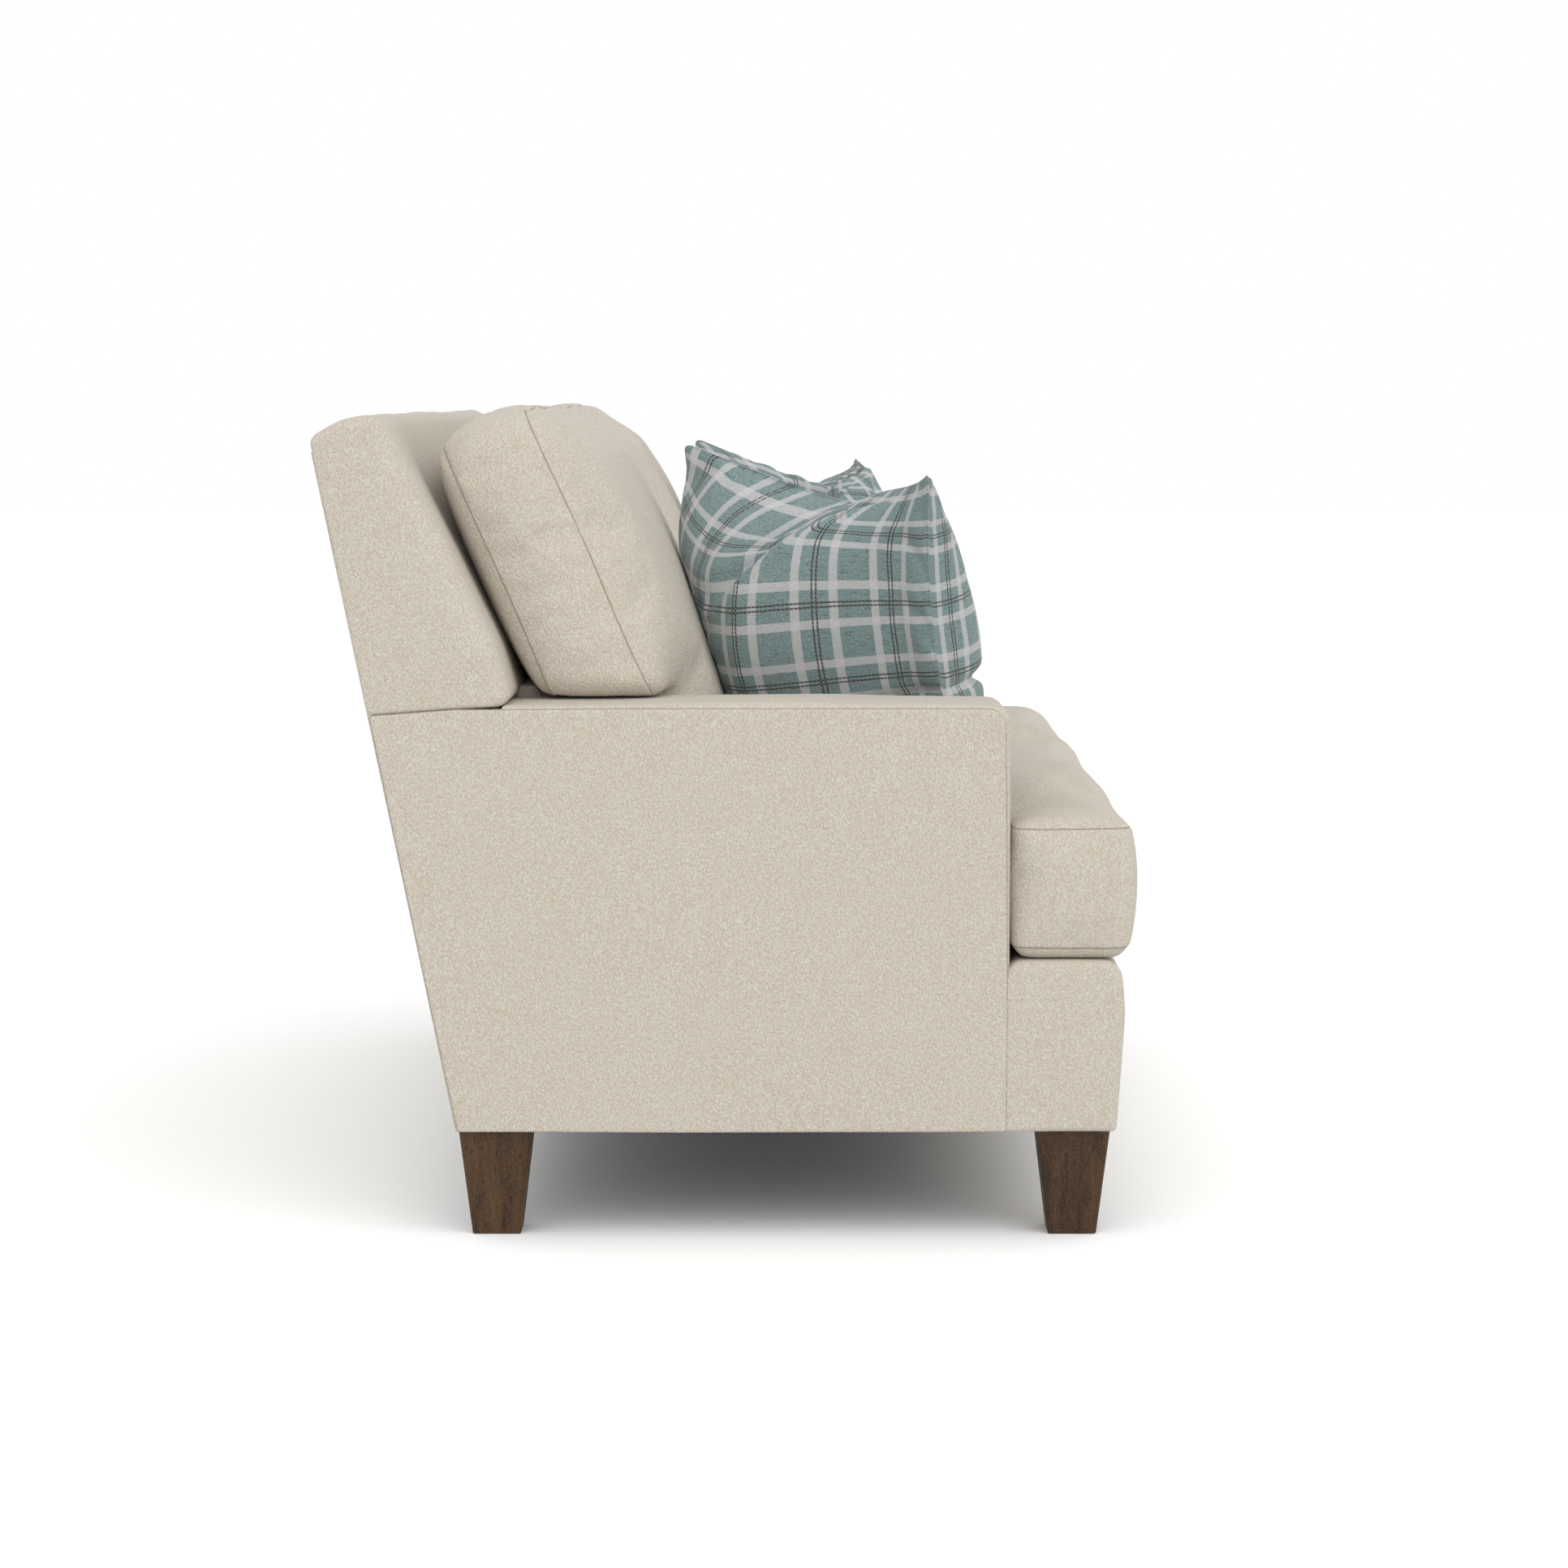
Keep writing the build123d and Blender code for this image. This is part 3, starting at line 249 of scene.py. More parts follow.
class Shader(NodeTree):
    """The node tree of one material, with its surface shader."""

    def __init__(self, name: str) -> None:
        """Start a material with a bare Principled shader.

        Args:
            name: the material's name.
        """
        self.material = bpy.data.materials.new(name)
        super().__init__(self.material)
        self.surface = self.tree.nodes.new("ShaderNodeBsdfPrincipled")
        self.close(Socket(self, self.surface.outputs["BSDF"]))

    def place(self) -> Socket:
        """The point on the piece, in metres, carried along with the piece."""
        return self.node("ShaderNodeTexCoord", output="Object")

    def noise(self, point: Socket, scale: float, detail: float = 2.0, rough: float = 0.5) -> Socket:
        """Soft noise around 0.5 at a scale in cells per metre."""
        inputs = {"Vector": point, "Scale": scale, "Detail": detail, "Roughness": rough}
        return self.node("ShaderNodeTexNoise", {"noise_dimensions": "3D"}, inputs)

    def cells(self, point: Socket, scale: float) -> Socket:
        """Distance from the heart of rounded random cells, at a scale in cells per metre."""
        return self.node("ShaderNodeTexVoronoi", None, {"Vector": point, "Scale": scale}, "Distance")

    def mix(self, low: Socket | Colour, high: Socket | Colour, share: Socket | float) -> Socket:
        """Mix two colours.

        Args:
            low: the colour at a share of 0.
            high: the colour at a share of 1.
            share: how much of the second shows.

        Returns:
            The mixed colour.
        """
        return self.node(
            "ShaderNodeMix",
            {"data_type": "RGBA", "clamp_factor": True},
            {"Factor_Float": share, "A_Color": low, "B_Color": high},
            "Result_Color",
        )

    def part(self, point: Socket, axis: str) -> Socket:
        """One coordinate of a point."""
        return self.node("ShaderNodeSeparateXYZ", None, {"Vector": point}, axis)

    def attribute(self, name: str) -> Socket:
        """A number that the mesh carries at its points, 0 where it has none."""
        return self.node("ShaderNodeAttribute", {"attribute_name": name}, None, "Fac")

    def bump(self, height: Socket, depth: float, strength: float) -> None:
        """Raise the surface's normal by a height.

        Args:
            height: the relief, 0 to 1.
            depth: the relief's real depth in metres.
            strength: how much of it shows.
        """
        settings = {"Height": height, "Distance": depth, "Strength": strength}
        normal = self.node("ShaderNodeBump", None, settings)
        self.plug(self.surface.inputs["Normal"], normal)

    def dress(self, **values: "Socket | float | tuple") -> None:
        """Set the surface shader's sockets.

        Args:
            values: values or links by the socket's name, with _ for a space.
        """
        for key, value in values.items():
            name = key.replace("_", " ")
            self.plug(self.surface.inputs[name], value)


@dataclass(frozen=True)
class Chenille:
    """The nubby cream upholstery cloth.

    Args:
        name: the material's name.
        pale: the colour of the raised nubs.
        deep: the colour between the nubs.
        seam: the colour of the painted shade in a seam's valley.
        nubs: nubs per metre across the cloth.
        flecks: colour flecks per metre.
        patches: broad uneven patches per metre.
        relief: the nubs' depth in metres.
    """

    name: str
    pale: Colour = (0.684, 0.661, 0.634)
    deep: Colour = (0.524, 0.458, 0.354)
    seam: Colour = (0.200, 0.160, 0.110)
    nubs: float = 500.0
    flecks: float = 440.0
    patches: float = 30.0
    relief: float = 0.0020

    def make(self) -> bpy.types.Material:
        """Build the material.

        Returns:
            The material.
        """
        shader = Shader(self.name)
        point = shader.place()
        yarn_point = point * (1.0, 1.0, 0.62)
        warp = shader.noise(point, 90.0, 1.0) - 0.5
        gap = shader.cells(yarn_point + warp * 0.004, self.nubs)
        fleck = shader.noise(point * (1.0, 1.0, 0.7), self.flecks, 2.0, 0.6)
        patch = shader.noise(point, self.patches, 2.0)
        shade = 0.70 - gap * 0.70 + (fleck - 0.5) * 1.30 + (patch - 0.5) * 0.12
        cloth = shader.mix(self.deep, self.pale, shade.step(0.0, 0.95))
        # Painted shade: the cloth is darkened along the seam mark, standing in for the shade in the seam's
        # groove.
        seam = shader.attribute("seam").step(0.35, 1.0)
        shader.dress(
            Base_Color=shader.mix(cloth, self.seam, seam * 0.75),
            Roughness=0.95,
            Specular_IOR_Level=0.15,
            Sheen_Weight=0.2,
            Sheen_Roughness=0.5,
        )
        shader.bump((1.0 - gap) * 0.7 + fleck * 0.5, self.relief, 0.7)
        return shader.material


@dataclass(frozen=True)
class Plaid:
    """The teal plaid of the throw pillows, woven along the cover's own threads.

    Args:
        name: the material's name.
        ground: the plain windows' colour.
        shadow: the slubs' colour in the windows, also used for the painted shade along the seams.
        band: the pale bands' colour.
        line: the thin lines' colour.
        period: the repeat in metres.
        band_place: the bands' distance from the line pair.
        band_width: the bands' width.
        line_gap: the distance between the two lines of a pair.
        line_width: one line's width.
        twill: the pitch of the weave's diagonal.
        speckles: pale and dark specks per metre.
        slubs: slubs per metre across and along the cloth.
        wander: how far the threads stray from straight.
        start: where a pair of lines crosses the cloth's middle.
    """

    name: str
    ground: Colour = (0.186, 0.266, 0.264)
    shadow: Colour = (0.058, 0.094, 0.094)
    band: Colour = (0.570, 0.548, 0.552)
    line: Colour = (0.060, 0.036, 0.032)
    period: float = 0.097
    band_place: float = 0.0230
    band_width: float = 0.0105
    line_gap: float = 0.0052
    line_width: float = 0.0022
    twill: float = 0.0021
    speckles: float = 430.0
    slubs: tuple[float, float, float] = (70.0, 480.0, 1.0)
    wander: float = 0.0014
    start: tuple[float, float] = (0.013, 0.049)

    def _bands(self, thread: Socket) -> Socket:
        """Draw the pale bands that cross the cloth.

        Args:
            thread: the coordinate that they cross.

        Returns:
            1 on a band, 0 beside it.
        """
        off = abs(thread.fold(self.period) - self.band_place)
        half = self.band_width / 2.0
        return off.step(half + 0.0004, half - 0.0004)

    def _lines(self, thread: Socket) -> Socket:
        """Draw the pairs of thin dark lines that cross the cloth.

        Args:
            thread: the coordinate that they cross.

        Returns:
            1 on a line, 0 beside it.
        """
        off = abs(thread.fold(self.period) - self.line_gap / 2.0)
        half = self.line_width / 2.0
        return off.step(half + 0.0003, half - 0.0003)

    def make(self) -> bpy.types.Material:
        """Build the material.

        Returns:
            The material.
        """
        shader = Shader(self.name)
        flat = shader.node("ShaderNodeUVMap", {"uv_map": "cloth"})
        drift = shader.noise(flat, 60.0, 2.0) - 0.5
        across = shader.part(flat, "X") - self.start[0] + drift * self.wander
        sway = shader.noise(flat, 47.0, 2.0) - 0.5
        along = shader.part(flat, "Y") - self.start[1] + sway * self.wander
        diagonal = (across + along).fold(self.twill) * (2.0 / self.twill)
        counter = (across - along).fold(self.twill * 2.4) * (0.8333 / self.twill)
        speckle = shader.noise(flat, self.speckles, 2.0, 0.7)
        slub = shader.noise(flat * self.slubs, 1.0, 2.0)
        ground = shader.mix(self.ground, self.shadow, slub.step(0.50, 0.74) * 0.62)
        ground = shader.mix(ground, self.shadow, diagonal.step(0.45, 1.0) * 0.22)
        ground = shader.mix(ground, self.band, speckle.step(0.50, 0.78) * 0.50)
        ground = shader.mix(ground, self.shadow, speckle.step(0.48, 0.24) * 0.60)
        warp, weft = self._bands(across), self._bands(along)
        weave = 0.62 + diagonal.step(0.2, 0.9) * 0.38
        bright = 0.66 + speckle.step(0.30, 0.62) * 0.22
        pale = warp.largest(weft) * weave * bright + warp * weft * 0.22
        cloth = shader.mix(ground, self.band, pale)
        dash = counter.step(0.15, 0.55)
        dark = self._lines(across).largest(self._lines(along)) * (0.42 + dash * 0.55)
        cloth = shader.mix(cloth, self.line, dark)
        # Painted shade: the cloth is darkened towards the shadow colour along the seam mark, standing in
        # for the shade at the seam.
        seam = shader.attribute("seam").step(0.4, 1.0)
        shader.dress(
            Base_Color=shader.mix(cloth, self.shadow, seam * 0.5),
            Roughness=0.9,
            Specular_IOR_Level=0.2,
            Sheen_Weight=0.15,
            Sheen_Roughness=0.5,
        )
        shader.bump(diagonal * 0.5 + speckle * 0.6, 0.0006, 0.4)
        return shader.material


@dataclass(frozen=True)
class Timber:
    """Wood with its grain along one axis.

    Args:
        name: the material's name.
        dark: the colour of the late wood and pores.
        light: the colour of the early wood.
        stretch: how the grain is drawn out along X, Y and Z.
        scale: grain streaks per metre.
        shares: how much streaks, broad bands, mottle and pores tell.
        level: the sum that counts as no colour.
        roughness: the finish's roughness.
    """

    name: str
    dark: Colour
    light: Colour
    stretch: tuple[float, float, float]
    scale: float = 70.0
    shares: tuple[float, float, float, float] = (0.80, 0.55, 0.95, 0.25)
    level: float = 0.47
    roughness: float = 0.5

    def make(self) -> bpy.types.Material:
        """Build the material.

        Returns:
            The material.
        """
        shader = Shader(self.name)
        drawn = shader.place() * self.stretch
        wander = shader.noise(drawn, self.scale * 0.18, 2.0)
        streak = shader.noise(drawn, self.scale, 4.0, 0.62)
        pore = shader.noise(drawn, self.scale * 7.0, 2.0).step(0.56, 0.75)
        mottle = shader.noise(shader.place(), self.scale * 8.0, 3.0, 0.65)
        streaks, bands, specks, pores = self.shares
        grain = streak * streaks + wander * bands + mottle * specks - pore * pores - self.level
        wood = shader.mix(self.dark, self.light, grain.step(0.38, 0.90))
        rough = self.roughness + (streak - 0.5) * 0.25
        shader.dress(Base_Color=wood, Roughness=rough, Specular_IOR_Level=0.25)
        shader.bump(grain, 0.0006, 0.25)
        return shader.material


@dataclass(frozen=True)
class WovenCloth:
    """Plain woven cloth or strap: deck cloth, cambric and webbing.

    Args:
        name: the material's name.
        thread: the thread's colour.
        gap: the colour between threads.
        pitch: threads per metre.
    """

    name: str
    thread: Colour
    gap: Colour
    pitch: float = 900.0

    def make(self) -> bpy.types.Material:
        """Build the material.

        Returns:
            The material.
        """
        shader = Shader(self.name)
        point = shader.place()
        period = 1.0 / self.pitch
        rib = shader.part(point, "X").fold(period) * (2.0 / period)
        cross = shader.part(point, "Y").fold(period) * (2.0 / period)
        weave = rib * 0.5 + cross * 0.5 + (shader.noise(point, 300.0) - 0.5) * 0.5
        cloth = shader.mix(self.gap, self.thread, weave.step(0.1, 0.8))
        shader.dress(Base_Color=cloth, Roughness=0.92, Specular_IOR_Level=0.15)
        shader.bump(weave, 0.0005, 0.4)
        return shader.material


@dataclass(frozen=True)
class PlainMetal:
    """Oiled spring wire and zinc-plated plates.

    Args:
        name: the material's name.
        clean: the bright metal's colour.
        dull: the colour of the dull patches.
    """

    name: str
    clean: Colour = (0.52, 0.52, 0.53)
    dull: Colour = (0.30, 0.29, 0.28)

    def make(self) -> bpy.types.Material:
        """Build the material.

        Returns:
            The material.
        """
        shader = Shader(self.name)
        point = shader.place()
        patch = shader.noise(point, 60.0, 4.0, 0.6)
        scratch = shader.noise(point * (8.0, 60.0, 60.0), 20.0)
        tone = shader.mix(self.dull, self.clean, patch.step(0.3, 0.65))
        rough = 0.30 + patch * 0.25
        shader.dress(Base_Color=tone, Metallic=1.0, Roughness=rough)
        shader.bump(scratch, 0.0002, 0.2)
        return shader.material


@dataclass(frozen=True)
class Moulded:
    """Moulded nylon of glides and zips.

    Args:
        name: the material's name.
        base: the plastic's colour.
        worn: the colour where it is rubbed.
    """

    name: str
    base: Colour
    worn: Colour

    def make(self) -> bpy.types.Material:
        """Build the material.

        Returns:
            The material.
        """
        shader = Shader(self.name)
        point = shader.place()
        grain = shader.noise(point, 1400.0)
        rubbed = shader.noise(point, 150.0, 3.0).step(0.5, 0.8)
        tone = shader.mix(self.base, self.worn, rubbed * 0.4)
        shader.dress(Base_Color=tone, Roughness=0.42 + grain * 0.2, Specular_IOR_Level=0.4)
        shader.bump(grain, 0.0002, 0.25)
        return shader.material


class Finishes:
    """Every finish of the sofa, made once and handed out by material slot."""

    def __init__(self) -> None:
        """Make the materials."""
        along_x, upright = (0.07, 1.0, 1.0), (1.0, 1.0, 0.07)
        made = {
            "upholstery": Chenille("upholstery_chenille"),
            "plaid": Plaid("plaid_cloth"),
            "leg_wood": Timber("walnut_legs", (0.018, 0.0085, 0.0036), (0.100, 0.053, 0.023), upright),
            "frame_wood": Timber("frame_softwood", (0.42, 0.26, 0.13), (0.76, 0.58, 0.37), along_x),
            "deck_cloth": WovenCloth("deck_cloth", (0.60, 0.54, 0.45), (0.36, 0.31, 0.24)),
            "dust_cloth": WovenCloth("dust_cambric", (0.045, 0.045, 0.047), (0.012, 0.012, 0.012), 600.0),
            "webbing": WovenCloth("elastic_webbing", (0.14, 0.13, 0.12), (0.05, 0.045, 0.04), 450.0),
            "steel": PlainMetal("spring_steel"),
            "glide_plastic": Moulded("glide_nylon", (0.035, 0.035, 0.036), (0.09, 0.09, 0.09)),
            "zip_plastic": Moulded("zip_nylon", (0.62, 0.57, 0.48), (0.74, 0.70, 0.62)),
        }
        self.materials = {slot: finish.make() for slot, finish in made.items()}

    def put(self, piece: bpy.types.Object, slot: str) -> None:
        """Give a piece one finish."""
        piece.data.materials.clear()
        piece.data.materials.append(self.materials[slot])

    def attach(
        self, piece: bpy.types.Object, body: str, slot: str, *nodes: str, fill: float | None = None
    ) -> None:
        """Give a piece its finish, join it to its body and hide the CAD nodes that it stands for.

        Args:
            piece: the piece.
            body: the body it rides on.
            slot: the record's material slot.
            nodes: the CAD nodes it replaces.
            fill: how full it is, for a padded piece; not used.
        """
        self.put(piece, slot)
        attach(piece, body)
        if nodes:
            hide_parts(*nodes)
        LOG.info("%s rides on %s", piece.name, body)


def waver(points: Array, size: float, length: float, seed: int) -> Array:
    """A smooth random drift of points, so that no padded face is dead flat.

    Args:
        points: places, one row each.
        size: the drift's usual size in metres.
        length: the drift's wavelength in metres.
        seed: the random seed.

    Returns:
        One displacement per point.
    """
    dice = np.random.RandomState(seed)
    moved = np.zeros_like(points)
    waves = 7
    for _ in range(waves):
        heading = dice.normal(size=points.shape[1])
        heading /= np.linalg.norm(heading)
        phase = points @ heading * (2.0 * math.pi / (length * dice.uniform(0.7, 1.6)))
        moved += np.sin(phase + dice.uniform(0.0, 6.28))[:, None] * dice.normal(size=points.shape[1])
    return moved * size / math.sqrt(waves)


def ease_in(value: Array | float, low: float, high: float) -> Array:
    """Smooth step of numbers from 0 at low to 1 at high."""
    share = np.clip((np.asarray(value, float) - low) / (high - low), 0.0, 1.0)
    return share * share * (3.0 - 2.0 * share)


def make_piece(name: str, points: Array, faces: list) -> bpy.types.Object:
    """Make a smooth-shaded mesh object.

    Args:
        name: the piece's name.
        points: its points.
        faces: its faces, as point numbers.

    Returns:
        The object, linked to the scene.
    """
    mesh = bpy.data.meshes.new(name)
    mesh.from_pydata(points.tolist(), [], faces)
    mesh.polygons.foreach_set("use_smooth", [True] * len(mesh.polygons))
    mesh.update()
    piece = bpy.data.objects.new(name, mesh)
    bpy.context.scene.collection.objects.link(piece)
    return piece


def add_rounding(piece: bpy.types.Object) -> None:
    """Leave one level of subdivision on a finished piece.

    Args:
        piece: the piece.
    """
    rounding = piece.modifiers.new("rounding", "SUBSURF")
    rounding.levels = 1
    rounding.render_levels = 1


def places(piece: bpy.types.Object) -> Array:
    """Read where a piece's points are.

    Args:
        piece: the piece.

    Returns:
        The points as rows.
    """
    flat = np.empty(len(piece.data.vertices) * 3)
    piece.data.vertices.foreach_get("co", flat)
    return flat.reshape(-1, 3)


def put_places(piece: bpy.types.Object, points: Array) -> None:
    """Move the piece's points to the rows given."""
    piece.data.vertices.foreach_set("co", points.ravel())
    piece.data.update()


def mark_seam(piece: bpy.types.Object, seam: Array) -> None:
    """Write how much each point belongs to a seam: the mask along which the cloth shaders paint shade."""
    mark = piece.data.attributes.new("seam", "FLOAT", "POINT")
    mark.data.foreach_set("value", seam.astype(np.float32))


@dataclass
class Settling:
    """A short cloth run that lets a sewn cover find its own small folds.

    Args:
        pressure: the filling's push on the cover.
        slack: the share by which the cover is cut larger than its filling.
        frames: steps to run.
        cap: the furthest that a point may move, in metres.
    """

    pressure: float
    slack: float
    frames: int
    cap: float

    def run(self, piece: bpy.types.Object, held: Array) -> None:
        """Run the cloth on a piece and keep its result.

        Args:
            piece: the cover, before its subdivision is added.
            held: True for points that stay where they are, such as those on seams.
        """
        start = places(piece)
        group = piece.vertex_groups.new(name="held")
        group.add([int(n) for n in np.flatnonzero(held)], 1.0, "REPLACE")
        cloth = piece.modifiers.new("settling", "CLOTH")
        settings = cloth.settings
        settings.quality = 6
        settings.mass = 0.25
        settings.tension_stiffness = 18.0
        settings.compression_stiffness = 18.0
        settings.shear_stiffness = 6.0
        settings.bending_stiffness = 0.35
        settings.use_pressure = True
        settings.uniform_pressure_force = self.pressure
        settings.shrink_min = -self.slack
        settings.vertex_group_mass = group.name
        settings.effector_weights.gravity = 0.0
        cloth.collision_settings.use_collision = False
        cloth.point_cache.frame_start = 1
        cloth.point_cache.frame_end = self.frames
        scene = bpy.context.scene
        for frame in range(1, self.frames + 1):
            scene.frame_set(frame)
        settled = piece.evaluated_get(bpy.context.evaluated_depsgraph_get())
        moved = places(settled) - start
        length = np.linalg.norm(moved, axis=1, keepdims=True)
        moved *= np.minimum(1.0, self.cap / np.maximum(length, 1e-9))
        piece.modifiers.remove(cloth)
        piece.vertex_groups.remove(group)
        put_places(piece, start + moved)
        scene.frame_set(1)


@dataclass(frozen=True)
class Corner:
    """One corner of an outline in the Y-Z plane.

    Args:
        y: its place along Y.
        z: its place along Z.
        radius: its rounding.
        ease: how far the cloth rolls over onto the end faces along the edge that follows.
    """

    y: float
    z: float
    radius: float
    ease: float


@dataclass
class PaddedRoll:
    """An upholstered form: an outline carried along X, eased onto crowned end faces.

    Args:
        corners: the outline, counter-clockwise with Y to the right and Z up.
        x_low: the lower end's X.
        x_high: the higher end's X.
        crown: how far the end faces swell.
        pitch: the spacing of points along straight runs.
        drift: the size of the padding's unevenness.
        seed: the random seed of that unevenness.
        sewn: True where both end faces are sewn in round their edges.
    """

    corners: list[Corner]
    x_low: float
    x_high: float
    crown: float
    pitch: float
    drift: float
    seed: int
    sewn: bool = False

    face_shares = (0.22, 0.45, 0.68, 0.86, 0.96)
    roll_angles = tuple(np.linspace(0.0, math.pi / 2.0, 6))
    arc_step = 0.30
    drift_length = 0.22
    seam_rings = 3

    def _outline(self) -> tuple[Array, Array]:
        """Sample the outline.

        Returns:
            The points (y, z) in order, and each point's ease.
        """
        spots, eases = [], []
        count = len(self.corners)
        bends = [np.array((c.y, c.z)) for c in self.corners]
        leave = []
        for n, corner in enumerate(self.corners):
            back = bends[n - 1] - bends[n]
            ahead = bends[(n + 1) % count] - bends[n]
            back, ahead = back / np.linalg.norm(back), ahead / np.linalg.norm(ahead)
            half = math.acos(float(np.clip(back @ ahead, -1.0, 1.0))) / 2.0
            reach = corner.radius / math.tan(half)
            inside = (back + ahead) / np.linalg.norm(back + ahead)
            middle = bends[n] + inside * corner.radius / math.sin(half)
            first, last = bends[n] + back * reach, bends[n] + ahead * reach
            turn = math.pi - 2.0 * half
            steps = max(2, math.ceil(turn / self.arc_step))
            arc = []
            for k in range(steps + 1):
                share = k / steps
                mixed = math.sin((1 - share) * turn) * (first - middle)
                mixed = mixed + math.sin(share * turn) * (last - middle)
                arc.append(middle + mixed / math.sin(turn))
            leave.append(arc)
        for n, arc in enumerate(leave):
            before, after = self.corners[n - 1].ease, self.corners[n].ease
            for k, spot in enumerate(arc):
                spots.append(spot)
                eases.append(before + (after - before) * k / (len(arc) - 1))
            onward = leave[(n + 1) % count][0]
            gap = onward - arc[-1]
            inner = max(1, round(float(np.linalg.norm(gap)) / self.pitch))
            for k in range(1, inner):
                spots.append(arc[-1] + gap * k / inner)
                eases.append(after)
        return np.array(spots), np.array(eases)

    def points_and_faces(self) -> tuple[Array, list]:
        """Lay rings along X from one end's middle to the other's.

        Returns:
            The points and the faces.
        """
        line, ease = self._outline()
        tangent = np.roll(line, -1, 0) - np.roll(line, 1, 0)
        tangent /= np.linalg.norm(tangent, axis=1, keepdims=True)
        inward = np.stack((-tangent[:, 1], tangent[:, 0]), 1)
        rim = line + inward * ease[:, None]
        heart = rim.mean(0)
        rings = []

        def end_rings(x_end: float, outward: float) -> list[Array]:
            """Lay the rings of one end.

            Args:
                x_end: the end's X.
                outward: the sign of X on its outer side.

            Returns:
                The rings, from the middle of its face to the start of the sides.
            """
            laid = []
            for share in self.face_shares:
                flat = heart + (rim - heart) * share
                x = np.full(len(line), x_end + outward * self.crown * (1.0 - share**2))
                laid.append(np.column_stack((x, flat)))
            for angle in self.roll_angles:
                flat = line + inward * (ease * (1.0 - math.sin(angle)))[:, None]
                x = x_end - outward * ease * (1.0 - math.cos(angle))
                laid.append(np.column_stack((x, flat)))
            return laid

        low, high = end_rings(self.x_low, -1.0), end_rings(self.x_high, 1.0)
        rings.extend(low)
        inner = max(2, round((self.x_high - self.x_low) / (self.pitch * 1.4)))
        for k in range(1, inner):
            rings.append(low[-1] + (high[-1] - low[-1]) * k / inner)
        rings.extend(reversed(high))
        count = len(line)
        caps = np.array([(self.x_low - self.crown, *heart), (self.x_high + self.crown, *heart)])
        points = np.vstack(rings + [caps])
        faces = []
        for r in range(len(rings) - 1):
            for i in range(count):
                j = (i + 1) % count
                faces.append((r * count + i, r * count + j, (r + 1) * count + j, (r + 1) * count + i))
        first, last = len(points) - 2, len(points) - 1
        top = (len(rings) - 1) * count
        for i in range(count):
            j = (i + 1) % count
            faces.append((first, j, i))
            faces.append((last, top + i, top + j))
        points = points + waver(points, self.drift, self.drift_length, self.seed)
        return points, faces

    def build(self, name: str, shape: Callable[[Array], Array] | None = None) -> bpy.types.Object:
        """Make the piece.

        Args:
            name: the piece's name.
            shape: a last change to the points.

        Returns:
            The object.
        """
        points, faces = self.points_and_faces()
        if shape is not None:
            points = shape(points)
        piece = make_piece(name, points, faces)
        add_rounding(piece)
        # The seam mark is the mask along which the cloth shader paints shade in the seam's groove.
        if self.sewn:
            count = len(self._outline()[0])
            mark = np.zeros(len(points))
            turns = len(self.face_shares) + len(self.roll_angles)
            rings = (len(points) - 2) // count
            for ring in range(turns - self.seam_rings, turns):
                mark[ring * count : (ring + 1) * count] = 1.0
                far = rings - 1 - ring
                mark[far * count : (far + 1) * count] = 1.0
            mark_seam(piece, mark)
        return piece


